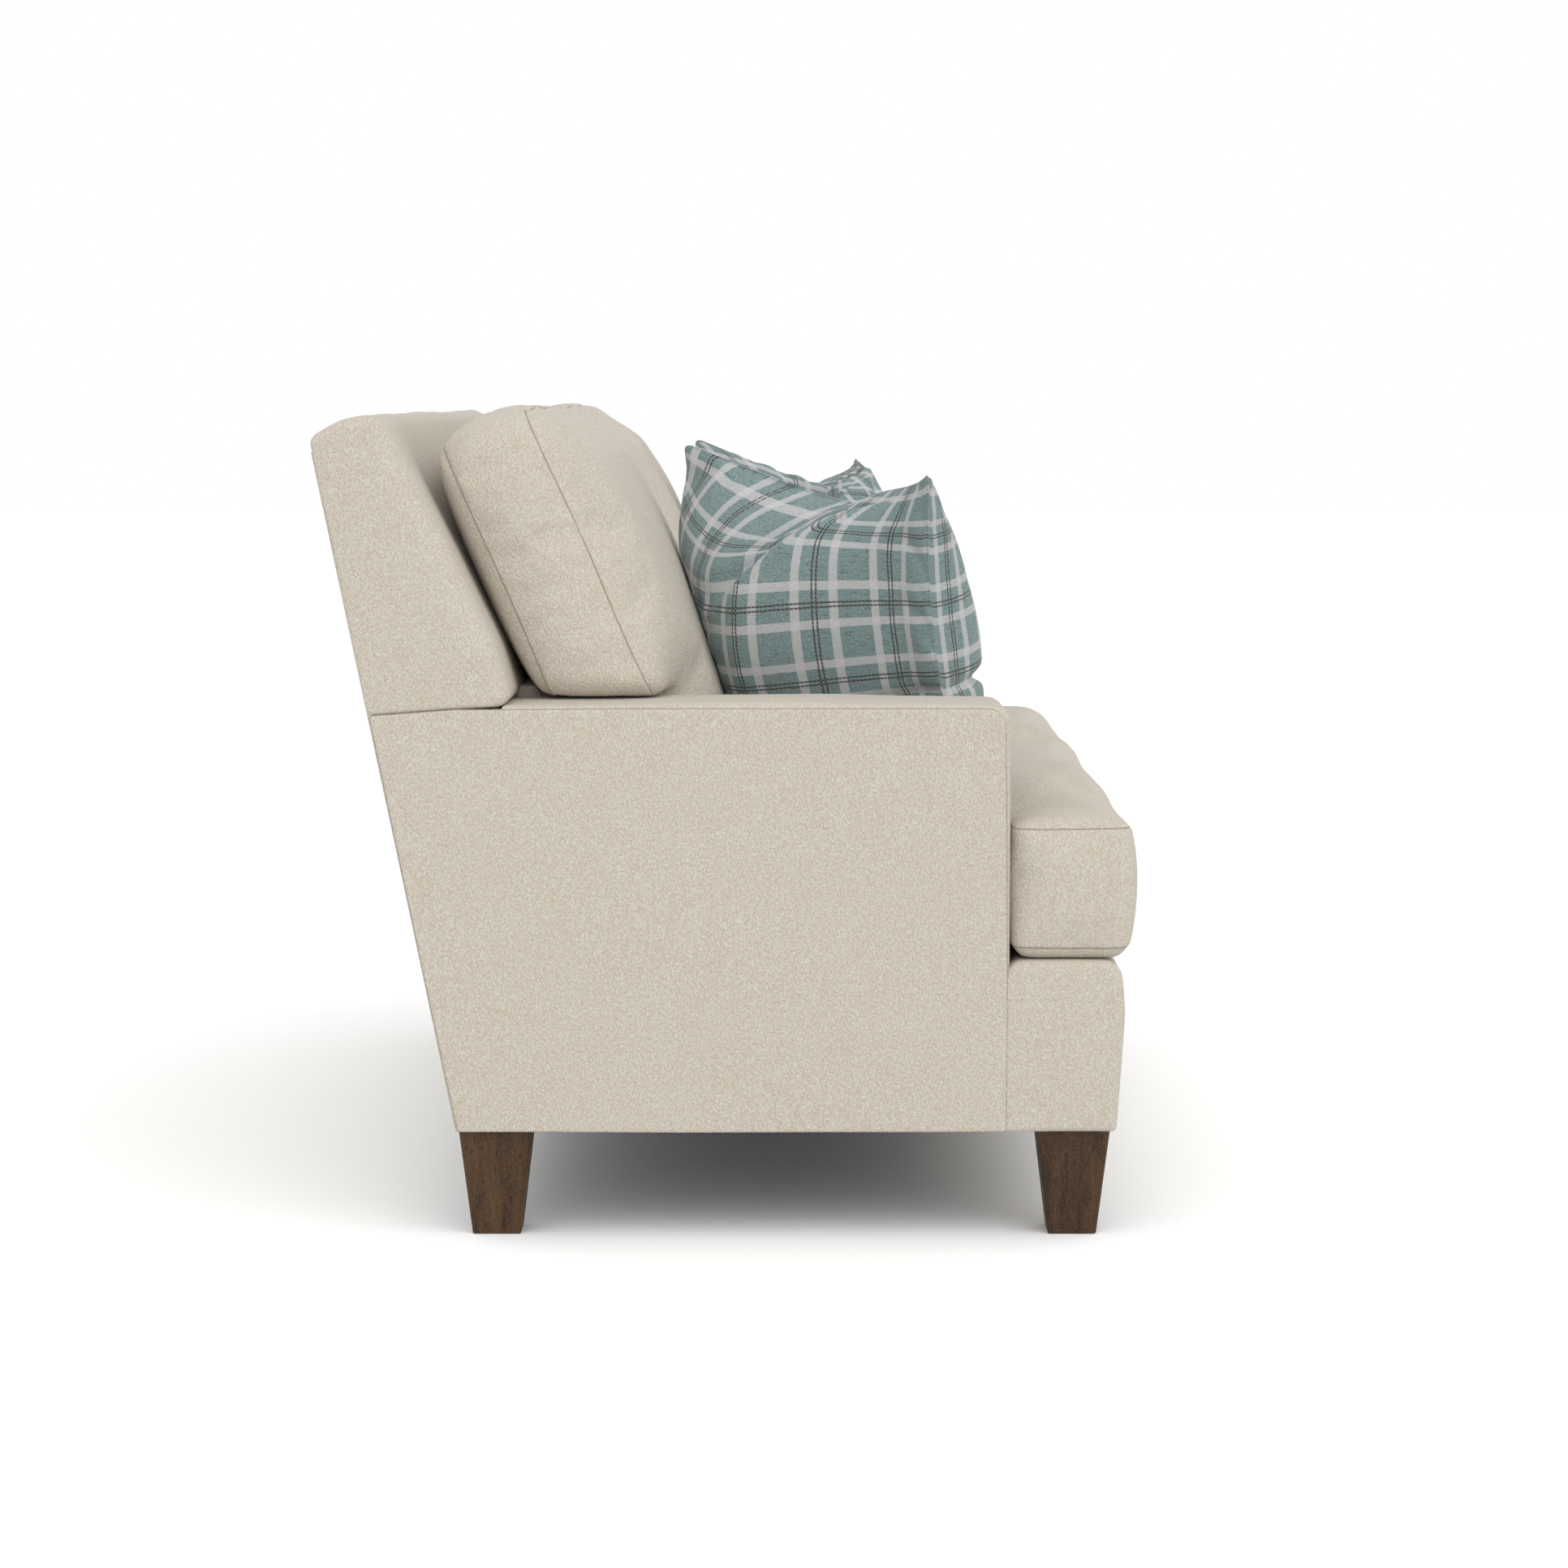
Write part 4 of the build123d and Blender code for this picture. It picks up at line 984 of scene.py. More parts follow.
@dataclass
class SewnForm:
    """A cover of two panels and a boxing strip, laid out on a grid with an optional step in one corner.

    The plan's first axis runs outwards from the sofa's middle. Heights are measured from the low seam.

    Args:
        outer: grid lines of the first axis: middle edge, step, outer edge.
        inner: grid lines of the second axis: low edge, step, high edge.
        step_low: True where the ear keeps the low part of the second axis, False for the high part.
        boxing: the strip's width between its two seams.
        radii: corner roundings at (middle, low), (outer, low), (outer, high), (middle, high).
        cell: the grid's cell size.
        lip: how far the panels' edges are drawn in at their seams.
        rings: the boxing's rings, as shares of its width.
    """

    outer: tuple[float, float, float]
    inner: tuple[float, float, float]
    step_low: bool
    boxing: float
    radii: tuple[float, float, float, float]
    cell: float = 0.0105
    lip: float = 0.0026
    rings: tuple[float, ...] = (
        *(0.02, 0.06, 0.14, 0.24, 0.33, 0.405, 0.425),
        0.5,
        *(0.575, 0.595, 0.67, 0.76, 0.86, 0.94, 0.98),
    )

    channel_half = 0.09
    channel_lip = 0.10
    seam_valley = 0.0016
    membrane_rounds = 2600

    def lay_out(self) -> None:
        """Work out the grid, its edge and how full each panel stands."""
        self.a = self._lines(self.outer)
        self.b = self._lines(self.inner)
        na, nb = len(self.a), len(self.b)
        filled = np.ones((na - 1, nb - 1), bool)
        mid_a = (self.a[1:] + self.a[:-1]) / 2.0
        mid_b = (self.b[1:] + self.b[:-1]) / 2.0
        beyond = mid_a > self.outer[1]
        cut = mid_b > self.inner[1] if self.step_low else mid_b < self.inner[1]
        filled[np.ix_(beyond, cut)] = False
        self.filled = filled
        used = np.zeros((na, nb), bool)
        for da in (0, 1):
            for db in (0, 1):
                used[da : na - 1 + da, db : nb - 1 + db] |= filled
        self.number = np.full((na, nb), -1)
        self.number[used] = np.arange(used.sum())
        self.nodes = np.argwhere(used)
        self.edge = self._edge_loop()
        self.flat = np.stack((self.a[self.nodes[:, 0]], self.b[self.nodes[:, 1]]), 1)
        self.plan = self._rounded(self.flat)
        loop = self.plan[self.edge]
        tangent = np.roll(loop, -1, 0) - np.roll(loop, 1, 0)
        tangent /= np.linalg.norm(tangent, axis=1, keepdims=True)
        self.outward = np.stack((tangent[:, 1], -tangent[:, 0]), 1)
        self.fullness = self._membrane()
        span = self.plan[:, None, :] - loop[None, :, :]
        self.depth = np.sqrt((span**2).sum(2)).min(1)

    def _lines(self, stops: tuple[float, float, float]) -> Array:
        """Space grid lines evenly between stops.

        Args:
            stops: the places that a line has to meet.

        Returns:
            The lines in order.
        """
        runs = []
        for low, high in zip(stops[:-1], stops[1:]):
            if high - low > 1e-6:
                runs.append(np.linspace(low, high, max(2, round((high - low) / self.cell)) + 1))
        return np.unique(np.round(np.concatenate(runs), 9))

    def _edge_loop(self) -> Array:
        """Follow the edge of the filled cells.

        Returns:
            The numbers of the edge's points, counter-clockwise.
        """
        onward = {}
        filled = np.pad(self.filled, 1)
        for i, j in np.argwhere(self.filled):
            if not filled[i + 1, j]:
                onward[(i, j)] = (i + 1, j)
            if not filled[i + 2, j + 1]:
                onward[(i + 1, j)] = (i + 1, j + 1)
            if not filled[i + 1, j + 2]:
                onward[(i + 1, j + 1)] = (i, j + 1)
            if not filled[i, j + 1]:
                onward[(i, j + 1)] = (i, j)
        start = next(iter(onward))
        loop, spot = [start], onward[start]
        while spot != start:
            loop.append(spot)
            spot = onward[spot]
        return np.array([self.number[i, j] for i, j in loop])

    def _rounded(self, flat: Array) -> Array:
        """Draw the square corners of the plan in to rounded ones.

        Args:
            flat: the grid points with square corners.

        Returns:
            The points with rounded corners.
        """
        low_a, step_a, high_a = self.outer
        low_b, step_b, high_b = self.inner
        ear_low, ear_high = (low_b, step_b) if self.step_low else (step_b, high_b)
        if step_a >= high_a:
            ear_low, ear_high = low_b, high_b
        spots = (
            (low_a, low_b, 1, 1),
            (high_a, ear_low, -1, 1),
            (high_a, ear_high, -1, -1),
            (low_a, high_b, 1, -1),
        )
        plan = flat.copy()
        for (a, b, da, db), radius in zip(spots, self.radii):
            x = 1.0 - (flat[:, 0] - a) * da / radius
            y = 1.0 - (flat[:, 1] - b) * db / radius
            near = (x > 0) & (y > 0) & (x <= 1.0001) & (y <= 1.0001)
            u = x * np.sqrt(1.0 - y**2 / 2.0)
            v = y * np.sqrt(1.0 - x**2 / 2.0)
            plan[near, 0] = a + da * radius * (1.0 - u[near])
            plan[near, 1] = b + db * radius * (1.0 - v[near])
        return plan

    def _membrane(self) -> Array:
        """Stretch a cover over the plan.

        Returns:
            How full it stands over each point, 0 on the edge and 1 at the fullest.
        """
        inside = self.number >= 0
        free = inside.copy()
        rim = np.argwhere(np.isin(self.number, self.edge) & inside)
        free[rim[:, 0], rim[:, 1]] = False
        height = np.zeros(inside.shape)
        for _ in range(self.membrane_rounds):
            around = np.zeros_like(height)
            around[1:-1, 1:-1] = (
                height[2:, 1:-1] + height[:-2, 1:-1] + height[1:-1, 2:] + height[1:-1, :-2]
            )
            height = np.where(free, around / 4.0 + 1.0, 0.0)
        height /= height.max()
        return height[self.nodes[:, 0], self.nodes[:, 1]]

    def zip_channel(self, ends: Sequence[float], facing: float, depth: float) -> Array:
        """How far a zip's channel is let in, for each edge point.

        Args:
            ends: the zip's two ends, as distances from the sofa's middle.
            facing: 1 where the zip's strip is at the second axis's high edge, -1 at its low edge.
            depth: the channel's depth.

        Returns:
            The depth, 0 away from the zip.
        """
        spare = 0.004
        across = self.plan[self.edge, 0]
        within = (across > ends[0] - spare) & (across < ends[1] + spare)
        return depth * ease_in(facing * self.outward[:, 1], 0.9, 0.95) * within

    def held(self) -> Array:
        """The points that a cloth run leaves in place: seams, the low panel and the zip's channel."""
        return (self.seam > 0.5) | (self.panel < 0.4) | self.channel

    def assemble(self, rise: Array, fall: Array, swell: Array, dent: Array | None = None) -> None:
        """Stack the low panel, the boxing and the high panel.

        Args:
            rise: the high panel's height above its seam at each grid point.
            fall: the low panel's depth below its seam at each grid point.
            swell: how far the boxing stands out at its middle, for each edge point.
            dent: how far the boxing's zip channel is let in, for each edge point.
        """
        count, ring = len(self.plan), len(self.edge)
        inset = np.zeros_like(self.plan)
        inset[self.edge] = -self.outward * self.lip
        low = np.column_stack((self.plan + inset, -fall - self.lip * 0.6))
        high = np.column_stack((self.plan + inset, self.boxing + rise + self.lip * 0.6))
        rim = self.plan[self.edge]
        strips = []
        channel = [np.zeros(2 * count, bool)]
        dent = np.zeros(ring) if dent is None else dent
        for share in (0.0, *self.rings, 1.0):
            out = np.full(ring, -self.seam_valley)
            if 0.0 < share < 1.0:
                out = swell * math.sin(math.pi * share) ** 0.7
            off_middle = abs(share - 0.5)
            if off_middle < self.channel_half:
                out = out - dent
            spots = rim + self.outward * out[:, None]
            strips.append(np.column_stack((spots, np.full(ring, share * self.boxing))))
            channel.append((dent > 0.0) & (off_middle < self.channel_lip))
        self.channel = np.concatenate(channel)
        self.points = np.vstack([low, high] + strips)
        # The seam mark holds the seams in the cloth run and is the mask for the painted seam shade.
        self.seam = np.zeros(len(self.points))
        first = 2 * count
        last = first + (len(strips) - 1) * ring
        self.seam[first : first + ring] = 1.0
        self.seam[last : last + ring] = 1.0
        self.cloth = np.vstack([self.flat, self.flat] + [self.flat[self.edge]] * len(strips))
        self.panel = np.concatenate((np.zeros(count), np.ones(count), np.full(ring * len(strips), 0.5)))
        self.faces = self._faces(count, ring, len(strips))

    def _faces(self, count: int, ring: int, strips: int) -> list:
        """Join the grid points of both panels and the boxing into faces.

        Args:
            count: how many points one panel has.
            ring: how many points lie round the edge.
            strips: how many rings the boxing has.

        Returns:
            The faces, as point numbers.
        """
        faces = []
        for i, j in np.argwhere(self.filled):
            n = self.number
            quad = (n[i, j], n[i + 1, j], n[i + 1, j + 1], n[i, j + 1])
            faces.append(tuple(int(k) for k in reversed(quad)))
            faces.append(tuple(int(k) + count for k in quad))
        loops = [self.edge]
        loops += [2 * count + s * ring + np.arange(ring) for s in range(strips)]
        loops.append(self.edge + count)
        for lower, upper in zip(loops[:-1], loops[1:]):
            for i in range(ring):
                j = (i + 1) % ring
                faces.append((int(lower[i]), int(lower[j]), int(upper[j]), int(upper[i])))
        return faces

    def build(self, name: str, points: Array, mirrored: bool) -> bpy.types.Object:
        """Make the piece from finished places.

        Args:
            name: the piece's name.
            points: the assembled points in the sofa's frame.
            mirrored: True where the plan was mirrored, so that faces are turned.

        Returns:
            The object, with its seam mark and its cloth map.
        """
        faces = [tuple(reversed(f)) for f in self.faces] if mirrored else self.faces
        piece = make_piece(name, points, faces)
        mark_seam(piece, self.seam)
        cloth = piece.data.uv_layers.new(name="cloth")
        corner = np.empty(len(piece.data.loops), np.int32)
        piece.data.loops.foreach_get("vertex_index", corner)
        cloth.data.foreach_set("uv", self.cloth[corner].astype(np.float32).ravel())
        return piece


@dataclass
class Layout:
    """Lines that several sub-assemblies share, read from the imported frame.

    Args:
        back_panel: the outside back's thickness along Y.
        arm_tuck: how far the arm reaches in behind the inside back along Y.
    """

    back_panel: float = 0.0051
    arm_tuck: float = 0.0451

    def __post_init__(self) -> None:
        """Read the back's two raked lines and the arms' places."""
        low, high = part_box("outside_back")
        self.rear_slope = (high.y - low.y - self.back_panel) / (high.z - low.z)
        self.rear_y, self.rear_z = high.y, high.z
        arm_low, arm_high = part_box("arm_wrap_right")
        inside_low, inside_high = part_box("inside_back")
        self.front_y, self.front_z = inside_low.y, inside_low.z
        rise = arm_high.z - inside_low.z
        self.front_slope = (arm_high.y - self.arm_tuck - inside_low.y) / rise
        self.half_width = -arm_low.x
        self.arm_face = -arm_high.x
        self.arm_front = arm_low.y
        self.arm_top = arm_high.z
        self.crest = inside_high.z
        self.base = low.z

    def rear(self, z: float) -> float:
        """The back's rear line: Y at a height."""
        return self.rear_y + (z - self.rear_z) * self.rear_slope

    def front(self, z: Array | float) -> Array | float:
        """The back's front line: Y at a height."""
        return self.front_y + (z - self.front_z) * self.front_slope


@dataclass
class Arm:
    """One set-back track arm: the wrapped top, inside and front, and the flat outside panel.

    Args:
        layout: shared lines.
        side: which arm.
        top_crown: how much the top swells between its ends.
        front_round: the rounding of the top front corner.
        wrap_ease: the wrap's roll at its two long edges.
        panel_step: how far the outside panel stops short of the top.
        front_step: how far it stops short of the front.
        rear_drop: how far its top lies below the arm's at the rear.
        panel_depth: the panel's thickness.
        rear_bend: the Y at which the panel's top edge starts to fall.
        front_bend: the height over the base at which its front edge starts to lean back.
        toe_step: how far it stops short of the arm's front at its foot.
    """

    layout: Layout
    side: Side
    top_crown: float = 0.0035
    front_round: float = 0.021
    wrap_ease: float = 0.011
    panel_step: float = 0.0035
    front_step: float = 0.0065
    rear_drop: float = 0.0115
    panel_depth: float = 0.009
    rear_bend: float = 0.315
    front_bend: float = 0.195
    toe_step: float = 0.0035

    def build(self, finishes: Finishes) -> None:
        """Make and dress the wrap and the outside panel."""
        self._wrap(finishes)
        self._panel(finishes)

    def _span(self, inner: float, outer: float) -> tuple[float, float]:
        """Lower and higher X of a piece between two distances from the middle."""
        ends = sorted((inner * self.side.value, outer * self.side.value))
        return ends[0], ends[1]

    def _wrap(self, finishes: Finishes) -> None:
        """The arm's body of wrapped cloth.

        Args:
            finishes: the sofa's finishes.
        """
        lay = self.layout
        node = f"arm_wrap_{self.side.label}"
        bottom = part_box(node)[0].z
        tuck = lay.arm_tuck
        corners = [
            Corner(lay.front(bottom) + tuck, bottom, 0.004, 0.006),
            Corner(lay.front(lay.arm_top) + tuck, lay.arm_top, 0.006, self.wrap_ease),
            Corner(lay.arm_front, lay.arm_top, self.front_round, self.wrap_ease),
            Corner(lay.arm_front, bottom, 0.006, 0.006),
        ]
        x_low, x_high = self._span(lay.arm_face, lay.half_width - 0.001)
        roll = PaddedRoll(corners, x_low, x_high, 0.0, 0.03, 0.0007, 11)
        middle = (lay.arm_front + lay.front(lay.arm_top)) / 2.0
        half = (lay.front(lay.arm_top) - lay.arm_front) / 2.0

        def swell(points: Array) -> Array:
            """Lift the top along the arm's middle.

            Args:
                points: the wrap's points, moved in place.

            Returns:
                The same points.
            """
            along = 1.0 - np.clip(np.abs(points[:, 1] - middle) / half, 0.0, 1.0) ** 2
            points[:, 2] += self.top_crown * along * ease_in(points[:, 2], lay.arm_top - 0.04, lay.arm_top)
            return points

        piece = roll.build(f"arm_wrap_cloth_{self.side.label}", swell)
        finishes.attach(piece, "frame", "upholstery", node, fill=0.95)

    def _panel(self, finishes: Finishes) -> None:
        """The flat outside panel, sewn in along the arm's top and front.

        Args:
            finishes: the sofa's finishes.
        """
        lay = self.layout
        node = f"outside_arm_{self.side.label}"
        top = lay.arm_top - self.panel_step
        front = lay.arm_front + self.front_step
        toe = lay.arm_front + self.toe_step
        ease = 0.0032
        rear_top = lay.arm_top - self.rear_drop
        corners = [
            Corner(lay.rear(lay.base) - 0.001, lay.base, 0.005, ease),
            Corner(lay.rear(rear_top) - 0.001, rear_top, 0.004, ease),
            Corner(self.rear_bend, top, 0.080, ease),
            Corner(front, top, self.front_round, ease),
            Corner(toe, lay.base + self.front_bend, 0.06, ease),
            Corner(toe, lay.base, 0.004, ease),
        ]
        outer = lay.half_width + 0.0004
        x_low, x_high = self._span(outer - self.panel_depth, outer)
        seed = self.side.seed(21)
        roll = PaddedRoll(corners, x_low, x_high, 0.0014, 0.025, 0.0005, seed, True)
        piece = roll.build(f"arm_outside_panel_{self.side.label}")
        finishes.attach(piece, "frame", "upholstery", node, fill=0.9)


@dataclass
class Back:
    """The raked back: the padded block above the arms, the inside below them and the outside panel.

    Args:
        layout: shared lines.
        ridge_drop: how far the rear corner lies below the ridge.
        front_ease: the roll of the block's front edge onto its end faces.
        foot_back: how far the block's front foot lies behind the back's front line.
        foot_round: the rounding of that foot.
        waist: the height at which the block's front is hollowest.
        hollow: how far it lies behind the back's front line there.
        rear_drop: how far the block's rear foot lies below its front one.
        inside_depth: the depth of the padding below the arms' height.
    """

    layout: Layout
    ridge_drop: float = 0.027
    front_ease: float = 0.027
    foot_back: float = 0.0235
    foot_round: float = 0.017
    waist: float = 0.70
    hollow: float = 0.0075
    rear_drop: float = 0.0125
    inside_depth: float = 0.036

    def build(self, finishes: Finishes) -> None:
        """Make and dress the back's three pieces.

        Args:
            finishes: the sofa's finishes.
        """
        self._block(finishes)
        self._inside(finishes)
        self._outside(finishes)

    def _block(self, finishes: Finishes) -> None:
        """The back above the arms, with its end faces.

        Args:
            finishes: the sofa's finishes.
        """
        lay = self.layout
        foot = lay.arm_top - 0.0008
        ridge = lay.crest + 0.004
        rear_top = ridge - self.ridge_drop
        rear = lay.rear(rear_top)
        corners = [
            Corner(lay.rear(foot - self.rear_drop), foot - self.rear_drop, 0.006, 0.004),
            Corner(rear, rear_top, 0.013, 0.012),
            Corner(rear - 0.036, ridge - 0.0062, 0.055, 0.016),
            Corner(float(lay.front(ridge + 0.002)), ridge + 0.002, 0.030, self.front_ease),
            Corner(float(lay.front(self.waist)) + self.hollow, self.waist, 0.16, self.front_ease),
            Corner(float(lay.front(foot)) + self.foot_back, foot, self.foot_round, 0.006),
        ]
        half = lay.half_width - 0.0015
        roll = PaddedRoll(corners, -half, half, 0.003, 0.03, 0.0010, 31)
        piece = roll.build("back_block_cloth")
        nodes = ("inside_back", "back_end_right", "back_end_left")
        finishes.attach(piece, "frame", "upholstery", *nodes, fill=0.9)

    def _inside(self, finishes: Finishes) -> None:
        """The inside back between the arms, below the block.

        Args:
            finishes: the sofa's finishes.
        """
        lay = self.layout
        low, high = lay.front_z, lay.arm_top + 0.012
        depth = self.inside_depth
        corners = [
            Corner(lay.front(low) + depth, low, 0.004, 0.005),
            Corner(lay.front(high) + depth, high, 0.004, 0.005),
            Corner(lay.front(high) + 0.001, high, 0.006, 0.008),
            Corner(lay.front(low), low, 0.010, 0.008),
        ]
        reach = lay.arm_face - 0.001
        piece = PaddedRoll(corners, -reach, reach, 0.0, 0.03, 0.0006, 32).build("back_inside_cloth")
        finishes.attach(piece, "frame", "upholstery", fill=0.9)

    def _outside(self, finishes: Finishes) -> None:
        """The flat panel on the back's rear face.

        Args:
            finishes: the sofa's finishes.
        """
        lay = self.layout
        low, high = lay.base, lay.rear_z
        depth, proud = 0.006, 0.0012
        corners = [
            Corner(lay.rear(low) + proud, low, 0.0016, 0.003),
            Corner(lay.rear(high) + proud, high, 0.0016, 0.003),
            Corner(lay.rear(high) - depth, high, 0.0016, 0.003),
            Corner(lay.rear(low) - depth, low, 0.0016, 0.003),
        ]
        half = lay.half_width - 0.0032
        piece = PaddedRoll(corners, -half, half, 0.0, 0.03, 0.0004, 33).build("back_outside_panel")
        finishes.attach(piece, "frame", "upholstery", "outside_back", fill=0.8)


@dataclass
class Base:
    """The padded front border, the sprung deck under the cushions and the cambric below.

    Args:
        layout: shared lines.
        front_round: the border's top front rounding.
        rear_round: the border's top rear rounding.
        lap: how far the border runs in behind the arm's outside panel.
        sag: how far the cambric hangs at its middle.
    """

    layout: Layout
    front_round: float = 0.024
    rear_round: float = 0.023
    lap: float = 0.007
    sag: float = 0.0012

    def build(self, finishes: Finishes) -> None:
        """Make and dress the three pieces.

        Args:
            finishes: the sofa's finishes.
        """
        self._border(finishes)
        self._deck(finishes)
        self._dust_cover(finishes)

    def _border(self, finishes: Finishes) -> None:
        """The padded border below the cushions' ears.

        Args:
            finishes: the sofa's finishes.
        """
        low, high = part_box("front_border")
        swell = low.z + 0.69 * (high.z - low.z)
        corners = [
            Corner(high.y + self.lap, low.z, 0.005, 0.005),
            Corner(high.y + self.lap, high.z, self.rear_round, 0.010),
            Corner(low.y + 0.005, high.z, self.front_round, 0.013),
            Corner(low.y, swell, 0.15, 0.013),
            Corner(low.y + 0.011, low.z, 0.006, 0.006),
        ]
        clear = 0.0008
        roll = PaddedRoll(corners, low.x + clear, high.x - clear, 0.0016, 0.028, 0.0008, 41)
        piece = roll.build("front_border_cloth")
        finishes.attach(piece, "frame", "upholstery", "front_border", fill=0.9)

    def _deck(self, finishes: Finishes) -> None:
        """The padded deck that the seat cushions rest on.

        Args:
            finishes: the sofa's finishes.
        """
        lay = self.layout
        low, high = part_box("seat_deck")
        top = high.z + 0.0005
        corners = [
            Corner(lay.front(low.z) - 0.001, low.z, 0.004, 0.005),
            Corner(lay.front(top) - 0.001, top, 0.008, 0.009),
            Corner(low.y + 0.0005, top, 0.012, 0.009),
            Corner(low.y + 0.0005, low.z, 0.005, 0.005),
        ]
        clear = 0.001
        roll = PaddedRoll(corners, low.x + clear, high.x - clear, 0.0, 0.03, 0.0006, 42)
        piece = roll.build("seat_deck_pad")
        finishes.attach(piece, "frame", "deck_cloth", "seat_deck", fill=0.9)

    def _dust_cover(self, finishes: Finishes) -> None:
        """The cambric stretched under the frame.

        Args:
            finishes: the sofa's finishes.
        """
        low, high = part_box("dust_cover")
        across, along = 40, 20
        x = np.linspace(low.x, high.x, across + 1)
        y = np.linspace(low.y, high.y, along + 1)
        grid = np.array([(a, b) for a in x for b in y])
        hang = np.sin(math.pi * (grid[:, 0] - low.x) / (high.x - low.x))
        hang *= np.sin(math.pi * (grid[:, 1] - low.y) / (high.y - low.y))
        points = np.column_stack((grid, high.z - 0.0006 - self.sag * hang))
        row = along + 1
        faces = [
            (i * row + j, i * row + j + 1, (i + 1) * row + j + 1, (i + 1) * row + j)
            for i in range(across)
            for j in range(along)
        ]
        piece = make_piece("dust_cover_cambric", points, faces)
        finishes.attach(piece, "frame", "dust_cloth", "dust_cover")


@dataclass
class SeatCushion:
    """One T-shaped seat cushion with an ear in front of the arm.

    Args:
        layout: shared lines.
        side: which cushion.
        low_seam: the low seam's height over the cushion's bottom.
        boxing: the strip between the seams.
        front_swell: how far the front boxing stands out.
        front_crown: the top panel's swell along the front.
        front_roll: how far behind the front seam that swell is reached.
        clear: the gap left to arms and neighbour.
        settling: the cloth run of the cover.
    """

    layout: Layout
    side: Side
    low_seam: float = 0.0145
    boxing: float = 0.140
    front_swell: float = 0.0055
    front_crown: float = 0.0350
    front_roll: float = 0.043
    clear: float = 0.0015
    settling: Settling = field(default_factory=lambda: Settling(2.0, 0.008, 16, 0.006))

    def build(self, finishes: Finishes) -> None:
        """Make, settle and dress the cushion.

        Args:
            finishes: the sofa's finishes.
        """
        label = self.side.label
        cover = f"seat_cushion_cover_{label}"
        low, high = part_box(cover)
        near, far = sorted((abs(low.x), abs(high.x)))
        seam_z = low.z + self.low_seam
        form = SewnForm(
            outer=(near, self.layout.arm_face - self.clear, far - 0.001),
            inner=(low.y + self.front_swell, self.layout.arm_front - self.clear, high.y),
            step_low=True,
            boxing=self.boxing,
            radii=(0.022, 0.020, 0.020, 0.022),
        )
        form.lay_out()
        crown = high.z - seam_z - self.boxing
        seed = self.side.seed(51)
        pucker = waver(form.plan, 0.0011, 0.045, seed)[:, 0] * np.exp(-form.depth / 0.028)
        full = form.fullness**0.46
        fuller = np.sqrt(1.0 - (1.0 - np.clip(form.depth / self.front_roll, 0.0, 1.0)) ** 2)
        ahead = ease_in(-form.plan[:, 1], 0.27, 0.36)
        ahead *= 1.0 - ease_in(form.plan[:, 0], self.layout.arm_face - 0.13, self.layout.arm_face - 0.02)
        rise = crown * 1.08 * full
        rise += (self.front_crown * fuller - rise) * ahead
        rise += pucker * (full > 0)
        notch = np.array((self.layout.arm_face, self.layout.arm_front))
        rise *= 1.0 - 0.8 * np.exp(-((np.linalg.norm(form.plan - notch, axis=1) / 0.058) ** 2))
        fall = np.minimum(self.low_seam - 0.002, 0.10 * form.fullness**0.5)
        rim = form.plan[form.edge]
        front = ease_in(-form.outward[:, 1], 0.2, 0.8)
        ear = ease_in(form.outward[:, 0], 0.2, 0.8) * ease_in(-rim[:, 1], 0.33, 0.36)
        swell = self.front_swell * front + 0.0022 * ear + 0.0006
        zip_low, zip_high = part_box(f"seat_zip_chain_{label}")
        ends = sorted((abs(zip_low.x), abs(zip_high.x)))
        dent = form.zip_channel(ends, 1.0, high.y - zip_low.y + 0.0006)
        form.assemble(rise, fall, swell, dent)
        points = form.points.copy()
        points[:, 2] += seam_z
        points += waver(points, 0.0008, 0.16, seed + 100)
        points[:, 2] = np.maximum(points[:, 2], low.z + 0.0008)
        points[:, 0] *= self.side.value
        piece = form.build(f"seat_cushion_{label}", points, self.side is Side.RIGHT)
        self.settling.run(piece, form.held())
        settled = places(piece)
        settled[:, 2] = np.maximum(settled[:, 2], low.z + 0.0008)
        put_places(piece, settled)
        add_rounding(piece)
        core = f"seat_cushion_core_{label}"
        finishes.attach(piece, f"seat_cushion_{label}", "upholstery", cover, core, fill=0.9)


